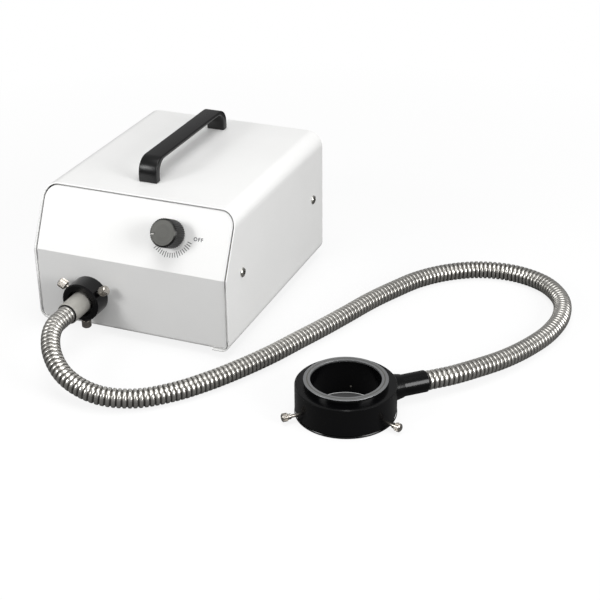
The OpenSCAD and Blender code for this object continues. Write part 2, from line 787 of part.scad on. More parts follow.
module socket_screw(turn) {
    color("#b9b4a8") on_guide() rotate([0, 0, turn]) translate([0, 0, socket_screw_y])
        rotate([0, 90, 0])
        thumb_screw(socket_thread, socket_tip, socket_head_at, socket_head_d, socket_head_len);
}

module socket_screw_left() { socket_screw(socket_turns[0]); }

module socket_screw_right() { socket_screw(socket_turns[1]); }

module socket_screw_bottom() { socket_screw(socket_turns[2]); }

module ferrule() {
    color("#a9abab") on_guide() translate([0, 0, -ferrule_in]) difference() {
        union() {
            cylinder(h = 1, d1 = ferrule_d - 1.4, d2 = ferrule_d);
            translate([0, 0, 1]) cylinder(h = ferrule_in + ferrule_out - crimp_len - 1, d = ferrule_d);
        }
        translate([0, 0, -cut]) cylinder(h = ferrule_in + ferrule_out + 2 * cut, d = bundle_bore);
    }
}

module ferrule_crimp() {
    color("#202020") on_guide() translate([0, 0, ferrule_out - crimp_len]) difference() {
        cylinder(h = crimp_len, d = ferrule_d + 0.4);
        translate([0, 0, -cut]) cylinder(h = crimp_len + 2 * cut, d = bundle_bore);
    }
}

// Ribbed tube with its bore, swept along the route
module hose() {
    bore_step = 4;
    outer = 2 * hose_ribs + 1;
    inner = hose_ribs / bore_step + 1;
    hole = outer * hose_sides;
    last = hole - hose_sides;
    hole_last = hole + (inner - 1) * hose_sides;
    color("#9a978f") polyhedron(
        points = concat(
            [for (j = [0:outer - 1]) each route_ring(j / 2, hose_d / 2 - (j % 2 == 0 ? hose_groove : 0))],
            [for (j = [0:inner - 1]) each route_ring(j * bore_step, hose_bore / 2)]),
        faces = concat(
            flip(wall_faces(0, outer)),
            wall_faces(hole, inner),
            [for (k = [0:hose_sides - 1]) let (n = (k + 1) % hose_sides)
                each [[k, n, hole + n], [k, hole + n, hole + k]]],
            [for (k = [0:hose_sides - 1]) let (n = (k + 1) % hose_sides)
                each [[last + k, hole_last + k, hole_last + n], [last + k, hole_last + n, last + n]]]));
}

// Fibre bundle inside the hose, from the ferrule's face to the ring's chamber
module fibre_bundle() {
    step = 4;
    rings = hose_ribs / step + 1;
    tail = route_tail(ferrule_in + ferrule_out, arm_reach - chamber_r);
    color("#d8d4c4") polyhedron(
        points = concat(tail[0], [for (j = [0:rings - 1]) each route_ring(j * step, bundle_d / 2)], tail[1]),
        faces = concat(
            flip(wall_faces(0, rings + 2)),
            [[for (k = [0:hose_sides - 1]) k]],
            [[for (k = [hose_sides - 1:-1:0]) (rings + 1) * hose_sides + k]]));
}

// End rings of the bundle, this far beyond the hose's start and end
function route_tail(before, after) = [
    [for (p = route_ring(0, bundle_d / 2)) p - before * start_dir],
    [for (p = route_ring(hose_ribs, bundle_d / 2)) p + after * end_dir]];

module arm_tube() {
    edge = 1.2;
    color("#19191b") in_ring() translate([0, 0, arm_z]) rotate([0, 90, 0]) difference() {
        union() {
            translate([0, 0, arm_seat]) cylinder(h = arm_reach - arm_seat - edge, d = arm_d);
            translate([0, 0, arm_reach - edge]) cylinder(h = edge, d1 = arm_d, d2 = arm_d - 2 * edge);
        }
        translate([0, 0, arm_seat - cut]) cylinder(h = arm_reach, d = bundle_bore);
    }
}

module ring_body() {
    r = ring_d / 2;
    edge = 0.7;
    color("#161618") in_ring() difference() {
        union() {
            rotate_extrude() polygon([[seat_r, 0], [r - ring_chamfer * 0.3, 0], [r, ring_chamfer],
                [r, ring_h - edge], [r - edge, ring_h], [neck_d / 2, ring_h],
                [neck_d / 2, ring_top - 0.3], [neck_d / 2 - 0.3, ring_top], [lip_in_r, ring_top],
                [lip_in_r, chamber_top + 4], [chamber_r, chamber_top], [chamber_r, ring_floor],
                [seat_r, ring_floor]]);
            translate([arm_seat, 0, arm_z]) rotate([0, 90, 0])
                cylinder(h = r - arm_seat + boss_len, d1 = arm_d + 5, d2 = arm_d + 1.2);
        }
        translate([arm_seat, 0, arm_z]) rotate([0, 90, 0])
            cylinder(h = r, d = arm_d + 2 * run_gap);
        translate([chamber_r - 3, 0, arm_z]) rotate([0, 90, 0]) cylinder(h = r, d = bundle_bore);
        ring_screw_holes();
    }
}

module ring_screw_holes() {
    for (a = ring_screw_turns) rotate([0, 0, a]) translate([0, 0, ring_screw_z]) rotate([0, 90, 0])
        cylinder(h = ring_d, d = ring_thread);
}

module ring_sleeve() {
    color("#1b1b1d") in_ring() difference() {
        rotate_extrude() polygon([[ring_bore / 2, 0], [seat_r - run_gap, 0],
            [seat_r - run_gap, ring_floor - 1], [sleeve_r, ring_floor],
            [sleeve_r, ring_top], [ring_bore / 2, ring_top]]);
        ring_screw_holes();
    }
}

module fibre_ring() {
    gap = 0.05;
    color("#bdbbb2") in_ring() rotate_extrude()
        polygon([[sleeve_r + gap, ring_floor + 1], [chamber_r - 0.6, ring_floor + 1],
            [chamber_r - 0.6, chamber_top - 0.6], [lip_in_r - gap, chamber_top + 3.4],
            [lip_in_r - gap, ring_top], [sleeve_r + gap, ring_top]]);
}

module ring_screw(turn) {
    color("#b9b4a8") in_ring() rotate([0, 0, turn]) translate([0, 0, ring_screw_z])
        rotate([0, 90, 0])
        thumb_screw(ring_thread, ring_tip, ring_head_at, ring_head_d, ring_head_len);
}

module ring_screw_back() { ring_screw(ring_screw_turns[0]); }

module ring_screw_front() { ring_screw(ring_screw_turns[1]); }

module ring_screw_right() { ring_screw(ring_screw_turns[2]); }

module knob() {
    face = knob_h - disc_t / 2;
    color("#232323") on_slope() difference() {
        translate([0, 0, knob_gap]) intersection() {
            linear_extrude(face - knob_gap) ribbed(knob_d / 2, knob_rib_depth, knob_ribs);
            chamfered(knob_d / 2, face - knob_gap, 0.4, 0.8);
        }
        translate([0, 0, knob_gap - cut])
            cylinder(h = bushing_out + cut, d = knob_recess_d);
        cylinder(h = knob_h - disc_t - 1.5, d = shaft_d + 2 * run_gap);
        translate([0, 0, knob_h - disc_t]) cylinder(h = disc_t, d = disc_d + 2 * run_gap);
        translate([0, 0, knob_screw_z()]) rotate([0, 90, 180])
            cylinder(h = knob_d, d = 3);
    }
}

function knob_screw_z() = (bushing_out + knob_gap + knob_h - disc_t) / 2;

module knob_disc() {
    color("#8a8a84") on_slope() difference() {
        union() {
            translate([0, 0, knob_h - disc_t]) cylinder(h = disc_t * 0.6, d = disc_d);
            translate([0, 0, knob_h - disc_t * 0.4])
                cylinder(h = disc_t * 0.4, d1 = disc_d, d2 = disc_d - disc_t * 0.8);
        }
        translate([-disc_d / 2 - cut, -0.6, knob_h - disc_t * 0.55])
            cube([cut + 4, 1.2, disc_t]);
    }
}

module knob_set_screw() {
    color("dimgray") on_slope() translate([0, 0, knob_screw_z()]) rotate([0, 90, 180])
        translate([0, 0, shaft_d / 2 + 0.1]) difference() {
            cylinder(h = 4, d = 3 - 2 * run_gap);
            translate([0, 0, 2.6]) cylinder(h = 2, d = 1.7, $fn = 6);
        }
}

module dimmer_shaft() {
    color("silver") on_slope() translate([0, 0, -chassis_t - pot_h + 2])
        cylinder(h = chassis_t + pot_h - 2 + knob_h - disc_t - 2, d = shaft_d);
}

module dimmer() {
    color("#8c8f93") on_slope() difference() {
        union() {
            translate([0, 0, -chassis_t - pot_h]) cylinder(h = pot_h, d = pot_d);
            translate([0, 0, -chassis_t - cut]) cylinder(h = chassis_t + cut + bushing_out, d = bushing_d);
            translate([-6, -pot_d / 2 - 5, -chassis_t - pot_h + 2]) cube([12, 8, 1.2]);
        }
        translate([0, 0, -chassis_t - pot_h + 1.5]) cylinder(h = 40, d = shaft_d + 2 * run_gap);
    }
}

module dimmer_nut() {
    color("silver") on_slope() difference() {
        cylinder(h = nut_t, d = bushing_d + 5, $fn = 6);
        translate([0, 0, -cut]) cylinder(h = nut_t + 2 * cut, d = bushing_d + 2 * run_gap);
    }
}

module dimmer_board() {
    color("#2f6b45") in_case() difference() {
        translate([board_x - board_w / 2, board_y - board_d / 2, floor_z + post_h])
            cube([board_w, board_d, board_t]);
        for (p = post_spots()) translate(p + [0, 0, floor_z]) cylinder(h = 2 * post_h, d = screw_d + 0.4);
    }
}

// Hexagon posts, each with the screws that hold it and the board
module board_posts() {
    board_top = floor_z + post_h + board_t;
    color("#c2a860") in_case() for (p = post_spots()) translate(p) {
        translate([0, 0, floor_z]) cylinder(h = post_h, d = 7, $fn = 6);
        translate([0, 0, base_z - 0.4]) cylinder(h = chassis_t + cut, d = screw_d);
        translate([0, 0, base_z - screw_head_h]) cylinder(h = screw_head_h, d = screw_head_d);
        translate([0, 0, floor_z + post_h - cut]) cylinder(h = board_t + 2 * cut, d = screw_d);
        translate([0, 0, board_top]) cylinder(h = screw_head_h, d = screw_head_d);
    }
}

// Finned heat sink that carries the dimmer's power switch
module heat_sink() {
    sink_w = 4 * fin_count + 2;
    color("#a8adb0") in_case()
        translate([board_x - sink_w / 2, board_y - 4, floor_z + post_h + board_t]) {
            cube([sink_w, 3, 26]);
            for (k = [0:fin_count - 1]) translate([4 * k + 2, 2, 0]) cube([1.6, 14, 26]);
        }
}

module capacitors() {
    color("#33415c") in_case() translate([board_x, board_y, floor_z + post_h + board_t]) {
        translate([-17, -19, 0]) cylinder(h = 20, d = 13);
        translate([0, -19, 0]) cylinder(h = 16, d = 10);
        translate([8, -25, 0]) cube([14, 9, 11]);
    }
}

// Dichroic glass reflector with its ceramic neck
module lamp_reflector() {
    r = lamp_d / 2;
    rim_t = 2;
    steps = 8;
    function bowl(f, inset) = [lamp_neck + (r - 1 - lamp_neck) * sqrt(1 - f) - inset,
        rim_t + f * reflector_depth];
    color("#d7dce0") on_beam() translate([0, 0, lamp_front]) {
        rotate_extrude() polygon(concat(
            [[r - 1 - reflector_t, 0], [r, 0], [r, rim_t]],
            [for (k = [0:steps]) bowl(k / steps, 0)],
            [for (k = [steps:-1:0]) bowl(k / steps, reflector_t)]));
        translate([-lamp_neck, -lamp_neck * 0.55, rim_t + reflector_depth - 0.5]) difference() {
            cube([2 * lamp_neck, lamp_neck * 1.1, lamp_neck_len]);
            translate([lamp_neck, lamp_neck * 0.55, -cut]) cylinder(h = 6 + cut, d = 6.4);
        }
    }
}

// Quartz capsule with its two contact pins
module lamp_bulb() {
    bulb_z = lamp_front + reflector_depth - 10;
    neck_end = lamp_front + reflector_depth + lamp_neck_len + 1.5;
    color("#e8eef2") on_beam() {
        translate([0, 0, bulb_z]) cylinder(h = 16, d = 6);
        translate([0, 0, bulb_z]) sphere(d = 6);
        for (s = [-1, 1]) translate([s * 2.6, 0, neck_end]) cylinder(h = 6, d = 1);
    }
}

module lamp_socket() {
    neck_end = lamp_front + reflector_depth + lamp_neck_len + 1.5;
    color("#e6e0d2") on_beam() translate([0, 0, neck_end]) difference() {
        translate([-11, -7, 0]) cube([22, 14, lamp_socket_len]);
        for (s = [-1, 1]) translate([s * 2.6, 0, -cut]) cylinder(h = 8 + cut, d = 1.1);
    }
}

// Sheet bracket with a filter plate and a lamp plate on one foot
module lamp_bracket() {
    floor_y = floor_z - guide_z;
    top_y = lamp_d / 2 + 4;
    filter_plate = lamp_front - filter_back;
    lamp_plate = lamp_front - bracket_t;
    color("#b4b8ba") on_beam() difference() {
        union() {
            translate([-bracket_w / 2, floor_y, filter_plate])
                cube([bracket_w, bracket_t, lamp_front - filter_plate]);
            for (z = [filter_plate, lamp_plate]) translate([-bracket_w / 2, floor_y, z])
                cube([bracket_w, top_y - floor_y, bracket_t]);
            for (s = [-1, 1]) translate([s * (filter_w / 2 + 2) - 1.8, -10, filter_front - 1.5])
                cube([3.6, 20, filter_plate - filter_front + 2]);
            for (s = [-1, 1]) translate([s * (filter_w / 2 + 0.4) - 2, -10, filter_front - 1.5])
                cube([4, 20, 1.4]);
            translate([-8, -filter_w / 2 - 2.2, filter_front - 1.5])
                cube([16, 2, filter_plate - filter_front + 2]);
        }
        translate([0, 0, filter_plate - cut]) cylinder(h = bracket_t + 2 * cut, d = filter_w - 4);
        translate([0, 0, lamp_plate - cut]) cylinder(h = bracket_t + 2 * cut, d = lamp_d - 3);
        for (s = [-1, 1]) translate([s * bracket_foot_x, floor_y - cut, bracket_foot_y])
            rotate([-90, 0, 0]) cylinder(h = bracket_t + 2 * cut, d = screw_d + 0.6);
    }
}

// Spring clips that hold the lamp's rim on its plate
module lamp_clips() {
    color("silver") on_beam() for (s = [-1, 1]) scale([s, 1, 1])
        translate([0, -5, lamp_front]) {
            translate([lamp_d / 2 + 1.5, 0, 0]) cube([4, 10, 1]);
            translate([lamp_d / 2 + 1.5, 0, 0]) cube([1, 10, 3.4]);
            translate([lamp_d / 2 - 0.6, 2, 2.4]) cube([3.1, 6, 1]);
        }
}

module heat_filter() {
    color("#bfe3dc") on_beam() translate([-filter_w / 2, -filter_w / 2, filter_front])
        cube([filter_w, filter_w, filter_t]);
}

// Laminated iron core with its two windows
module transformer_core() {
    window_w = (core_w - 4 * core_leg) / 2;
    color("#5b5e63") in_case()
        translate([core_x, 0, floor_z]) along_y(core_y - core_stack / 2, core_y + core_stack / 2)
        difference() {
            translate([-core_w / 2, 0]) square([core_w, core_h]);
            for (s = [-1, 1]) translate([s * (core_leg + window_w / 2) - window_w / 2, core_leg])
                square([window_w, core_h - 2 * core_leg]);
        }
}

// Taped winding on its bobbin, round the core's middle leg
module transformer_coil() {
    window_w = (core_w - 4 * core_leg) / 2;
    coil_w = 2 * core_leg + 2 * window_w - 2 * coil_gap;
    coil_d = core_stack + 2 * coil_out;
    coil_h = core_h - 2 * core_leg - 2 * coil_gap;
    flange = 1.6;
    color("#c9a23a") in_case() translate([core_x, core_y, floor_z + core_leg + coil_gap]) difference() {
        union() {
            linear_extrude(coil_h) round_rect(coil_w - 2, coil_d - 3, 5);
            for (z = [0, coil_h - flange]) translate([0, 0, z])
                linear_extrude(flange) round_rect(coil_w, coil_d, 2);
        }
        translate([-core_leg - coil_gap, -core_stack / 2 - coil_gap, -cut])
            cube([2 * (core_leg + coil_gap), core_stack + 2 * coil_gap, coil_h + 2 * cut]);
    }
}

// Steel strap over the core
module transformer_strap() {
    reach = core_w / 2 + strap_t + strap_foot;
    strap_d = core_stack * 0.6;
    color("#9da1a5") in_case() difference() {
        translate([core_x, 0, floor_z]) along_y(core_y - strap_d / 2, core_y + strap_d / 2) difference() {
            union() {
                translate([-reach, 0]) square([2 * reach, strap_t]);
                translate([-core_w / 2 - strap_t, 0]) square([core_w + 2 * strap_t, core_h + strap_t]);
            }
            translate([-core_w / 2, -cut]) square([core_w, core_h + cut]);
        }
        for (p = strap_spots()) translate(p + [0, 0, floor_z - cut])
            cylinder(h = strap_t + 2 * cut, d = screw_d + 0.6);
    }
}

// Screws that hold the strap and the lamp bracket on the base
module bracket_screws() {
    color("silver") in_case() {
        for (p = strap_spots()) translate(p + [0, 0, floor_z + strap_t]) case_screw(strap_t + chassis_t - sheet_gap);
        for (p = bracket_spots()) translate(p + [0, 0, floor_z + bracket_t])
            case_screw(bracket_t + chassis_t - sheet_gap);
    }
}

module fan_corners() {
    for (i = [-1, 1], j = [-1, 1]) translate([i * fan_pitch / 2, j * fan_pitch / 2, 0]) children();
}

module fan_frame() {
    color("#1e1e20") on_fan() {
        difference() {
            linear_extrude(fan_t) difference() {
                round_rect(fan_w, fan_w, 4);
                circle(d = duct_d);
            }
            fan_corners() translate([0, 0, -cut]) cylinder(h = fan_t + 2 * cut, d = 4.3);
        }
        difference() {
            union() {
                translate([0, 0, fan_t - hub_plate_t]) cylinder(h = hub_plate_t, d = hub_d);
                for (a = [45:90:315]) rotate([0, 0, a]) translate([hub_d / 2 - 2, -2, fan_t - hub_plate_t])
                    cube([(duct_d - hub_d) / 2 + 2.6, 4, hub_plate_t]);
                translate([0, 0, rotor_lo + 5]) cylinder(h = fan_t - rotor_lo - 6, d = 8);
            }
            translate([0, 0, rotor_lo]) cylinder(h = rotor_hi - rotor_lo + 0.5, r = pin_r + run_gap);
        }
    }
}

// Hub and curved blades; each blade is a slice of a tube that lies across it
module fan_rotor() {
    mid = (rotor_lo + rotor_hi) / 2;
    rise = sqrt(pow(blade_r, 2) - 2 * pow(blade_half, 2)) / sqrt(2);
    tip_r = duct_d / 2 - tip_gap;
    color("#2a2a2d") on_fan() {
        difference() {
            translate([0, 0, rotor_lo]) cylinder(h = rotor_hi - rotor_lo, d = hub_d);
            translate([0, 0, rotor_lo + 2]) cylinder(h = rotor_hi, d = hub_d - 2 * hub_wall);
        }
        translate([0, 0, rotor_lo + 1]) cylinder(h = rotor_hi - rotor_lo - 1, r = pin_r);
        for (k = [0:blade_count - 1]) rotate([0, 0, 360 * k / blade_count]) intersection() {
            translate([0, 0, rotor_lo + 0.5]) difference() {
                cylinder(h = rotor_hi - rotor_lo - 1, r = tip_r);
                translate([0, 0, -cut]) cylinder(h = rotor_hi, d = hub_d - 1);
            }
            translate([0, -rise, mid + rise]) rotate([0, 90, 0]) difference() {
                cylinder(h = tip_r, r = blade_r);
                translate([0, 0, -cut]) cylinder(h = tip_r + 2 * cut, r = blade_r - blade_t);
            }
            translate([0, -blade_half - 2, 0]) cube([tip_r, 2 * blade_half + 4, fan_t]);
        }
    }
}

// Welded wire guard: rings on four arms that end in screw eyes
module fan_guard() {
    r = wire_d / 2;
    arm_end = fan_pitch / sqrt(2);
    eye_r = 2.4 + r;
    color("#c4c6c8") on_fan() translate([0, 0, -chassis_t - r]) {
        for (a = [45:90:315]) rotate([0, 0, a]) {
            translate([guard_pitch, 0, 0]) rotate([0, 90, 0])
                cylinder(h = arm_end - guard_pitch - eye_r, r = r);
            translate([arm_end, 0, 0]) rotate_extrude() translate([eye_r, 0]) circle(r);
        }
        for (k = [1:guard_rings]) translate([0, 0, -wire_d * 0.9])
            rotate_extrude() translate([k * guard_pitch, 0]) circle(r);
    }
}

module fan_screws() {
    color("silver") on_fan() fan_corners() translate([0, 0, -chassis_t - wire_d]) rotate([180, 0, 0])
        pan_screw(8, 2.4, 4, 14);
}

module mains_inlet() {
    color("#17171a") on_inlet() {
        difference() {
            union() {
                linear_extrude(inlet_flange_t) round_rect(inlet_flange_w, inlet_flange_h, 4);
                translate([-inlet_body / 2, -inlet_body / 2, -inlet_depth])
                    cube([inlet_body, inlet_body, inlet_depth + 1]);
            }
            translate([-recess_w / 2, recess_mid - recess_h / 2, inlet_flange_t - recess_depth])
                cube([recess_w, recess_h, recess_depth + cut]);
            translate([-drawer_w / 2 - drawer_gap, drawer_mid - drawer_h / 2 - drawer_gap,
                inlet_flange_t - drawer_len - drawer_gap])
                cube([drawer_w + 2 * drawer_gap, drawer_h + 2 * drawer_gap, drawer_len + cut]);
            for (s = [-1, 1]) translate([s * inlet_pitch / 2, 0, -cut])
                cylinder(h = inlet_flange_t + 2 * cut, d = screw_d + 0.4);
        }
        for (p = [[-7, -2], [7, -2], [0, 2]])
            translate([p[0] - blade_w / 2, recess_mid + p[1] - blade_tall / 2, inlet_flange_t - recess_depth - 1])
            cube([blade_w, blade_tall, recess_depth - 1]);
        for (x = [-8, 0, 8]) translate([x - 3, recess_mid - 0.4, -inlet_depth - 8]) cube([6, 0.8, 9]);
    }
}

module inlet_screws() {
    color("silver") on_inlet() for (s = [-1, 1]) translate([s * inlet_pitch / 2, 0, inlet_flange_t])
        case_screw(inlet_flange_t + chassis_t + 2);
}

// Drawer with a pocket for the fuse in use and one for the spare
module fuse_drawer() {
    color("#1f1f22") on_inlet() translate([0, drawer_mid, inlet_flange_t]) difference() {
        union() {
            translate([-drawer_w / 2, -drawer_h / 2, -drawer_len]) cube([drawer_w, drawer_h, drawer_len]);
            translate([-drawer_w / 2 - 1, -drawer_h / 2 - 0.6, 0.2]) cube([drawer_w + 2, drawer_h + 0.6, 1.4]);
            translate([-drawer_w / 2, -drawer_h / 2, 0]) cube([drawer_w, drawer_h, 0.4]);
        }
        for (s = [-1, 1]) translate([s * drawer_w / 4 - 3, -3, -fuse_len - 3.5]) cube([6, drawer_h, fuse_len + 1]);
    }
}

module fuses() {
    color("#d9d9d9") on_inlet() for (s = [-1, 1])
        translate([s * drawer_w / 4, drawer_mid - 0.4, inlet_flange_t - fuse_len - 3]) {
            cylinder(h = fuse_len, d = fuse_d - 0.8);
            for (z = [0, fuse_len - 5]) translate([0, 0, z]) cylinder(h = 5, d = fuse_d);
        }
}

module lamp_lead() {
    back = lamp_front + reflector_depth + lamp_neck_len + lamp_socket_len + 1.5;
    board_top = floor_z + post_h + board_t;
    color("#e9e4d6") in_case() for (s = [-1, 1]) wire([[guide_x + 3 * s, back, guide_z],
        [guide_x + 3 * s, back + 6, guide_z], [guide_x + 3 * s, back + 12, board_top + 8],
        [guide_x + 3 * s, back + 20, board_top + 8], [guide_x + 3 * s, back + 20, board_top]], 2.2);
}

module mains_lead() {
    start_y = rear_out - inlet_depth - 8;
    coil_z = floor_z + core_h - core_leg - 4;
    coil_end = core_y + core_stack / 2 + coil_out - 1.5;
    color("#6b4a2f") in_case() for (s = [-1, 1]) wire([[inlet_x + 8 * s, start_y, inlet_z + recess_mid],
        [inlet_x + 8 * s, start_y - 6, inlet_z + recess_mid], [inlet_x + 6 * s, coil_end + 6, coil_z],
        [inlet_x + 6 * s, coil_end, coil_z]], 2.4);
}

module knob_lead() {
    pot_y = knob_up * sin(lean) + (panel_inset + chassis_t + pot_h) * cos(lean);
    pot_z = crease_z + knob_up * cos(lean) - (panel_inset + chassis_t + pot_h) * sin(lean);
    board_top = floor_z + post_h + board_t;
    over = floor_z + core_h + strap_t + 8;
    color("#8b2f2f") in_case() for (s = [-1, 1]) wire([[knob_x + 3 * s, pot_y, pot_z],
        [knob_x + 3 * s, pot_y + 10, pot_z - 4], [knob_x + 3 * s - 6, core_y - 50, over],
        [board_x + board_w / 2 - 12 + 4 * s, board_y + 16, over],
        [board_x + board_w / 2 - 12 + 4 * s, board_y + 16, board_top]], 2);
}

cover();
chassis();
rear_panel();
cover_screws();
rear_panel_screws();
feet();
foot_screws();
handle();
handle_screws();
nosepiece();
nosepiece_nut();
socket_screw_left();
socket_screw_right();
socket_screw_bottom();
ferrule();
ferrule_crimp();
hose();
fibre_bundle();
arm_tube();
ring_body();
ring_sleeve();
fibre_ring();
ring_screw_back();
ring_screw_front();
ring_screw_right();
knob();
knob_disc();
knob_set_screw();
dimmer_shaft();
dimmer();
dimmer_nut();
dimmer_board();
board_posts();
heat_sink();
capacitors();
lamp_reflector();
lamp_bulb();
lamp_socket();
lamp_bracket();
lamp_clips();
heat_filter();
transformer_core();
transformer_coil();
transformer_strap();
bracket_screws();
fan_frame();
fan_rotor();
fan_guard();
fan_screws();
mains_inlet();
inlet_screws();
fuse_drawer();
fuses();
lamp_lead();
mains_lead();
knob_lead();
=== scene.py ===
"""Dresses the packed fibre optic illuminator: finishes, hose, knurls, dial marks and studio."""
import json
import logging
import math
from dataclasses import dataclass, field
from enum import Enum

import bmesh
import bpy
from bpy.types import Curve, Material, Mesh, Node, NodeSocket, NodeTree, Object
from mathutils import Matrix, Vector


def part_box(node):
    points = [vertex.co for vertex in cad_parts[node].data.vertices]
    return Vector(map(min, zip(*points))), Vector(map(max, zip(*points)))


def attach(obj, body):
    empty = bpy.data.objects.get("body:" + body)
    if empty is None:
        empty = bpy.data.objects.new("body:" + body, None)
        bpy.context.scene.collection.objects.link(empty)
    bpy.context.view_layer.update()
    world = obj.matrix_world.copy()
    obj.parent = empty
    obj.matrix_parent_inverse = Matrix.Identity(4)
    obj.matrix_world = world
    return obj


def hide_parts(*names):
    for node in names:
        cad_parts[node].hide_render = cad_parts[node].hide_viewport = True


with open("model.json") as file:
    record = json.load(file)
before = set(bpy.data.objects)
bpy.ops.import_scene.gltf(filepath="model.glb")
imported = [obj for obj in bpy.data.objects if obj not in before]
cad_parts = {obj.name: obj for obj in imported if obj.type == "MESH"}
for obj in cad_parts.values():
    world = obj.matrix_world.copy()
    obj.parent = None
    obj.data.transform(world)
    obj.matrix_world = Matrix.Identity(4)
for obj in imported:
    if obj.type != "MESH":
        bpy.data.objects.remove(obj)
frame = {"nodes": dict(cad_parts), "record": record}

LOG = logging.getLogger("illuminator")
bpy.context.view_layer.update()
MM = 0.001
UP = Vector((0, 0, 1))
Point = tuple[float, float, float]
Outline = list[tuple[float, float]]
Link = NodeSocket | Node
RING_CENTRE: Point = (0.124, -0.112, 0.0)
WHITE = (1, 1, 1, 1)


def hex_linear(code: str) -> tuple[float, float, float, float]:
    """Turns an sRGB hex colour into a linear one.

    Args:
        code: Six hex digits after a hash sign.

    Returns:
        Linear red, green and blue, and an alpha of 1.
    """
    parts = [int(code[i:i + 2], 16) / 255 for i in (1, 3, 5)]
    red, green, blue = [c / 12.92 if c <= 0.04045 else ((c + 0.055) / 1.055) ** 2.4 for c in parts]
    return (red, green, blue, 1.0)


def add_node(tree: NodeTree, kind: str, inputs: dict | None = None, **settings: object) -> Node:
    """Adds a node with its settings and links.

    Args:
        tree: The shader or geometry tree.
        kind: The node's type name.
        inputs: Values, output sockets or nodes, which stand for their first output, by input
            name or number.
        **settings: The node's own properties.

    Returns:
        The new node.
    """
    node = tree.nodes.new(kind)
    for key, value in settings.items():
        setattr(node, key, value)
    for key, value in (inputs or {}).items():
        if isinstance(value, Node):
            value = value.outputs[0]
        if isinstance(value, NodeSocket):
            tree.links.new(value, node.inputs[key])
        else:
            node.inputs[key].default_value = value
    return node


def open_nodes(owner: Material | bpy.types.World) -> NodeTree:
    """Gives a material's or a world's node tree, emptied.

    Args:
        owner: The material or world.

    Returns:
        Its tree.
    """
    owner.use_nodes = True
    owner.node_tree.nodes.clear()
    return owner.node_tree


# ---- finishes


class Surface(Enum):
    """How a surface was made, which gives its pattern."""

    SPRAYED = "powder coat or paint, a faint orange peel"
    MOULDED = "spark-eroded tool texture"
    TURNED = "rings from the lathe round an axis"
    ROLLED = "lines along the sheet or bar"
    STACKED = "edges of thin sheets"
    STRANDED = "ends of many thin fibres"
    PLAIN = "smooth, with a little tone"


STRETCHED = {Surface.ROLLED: (1, 0.03, 1), Surface.STACKED: (0.02, 1, 0.02)}


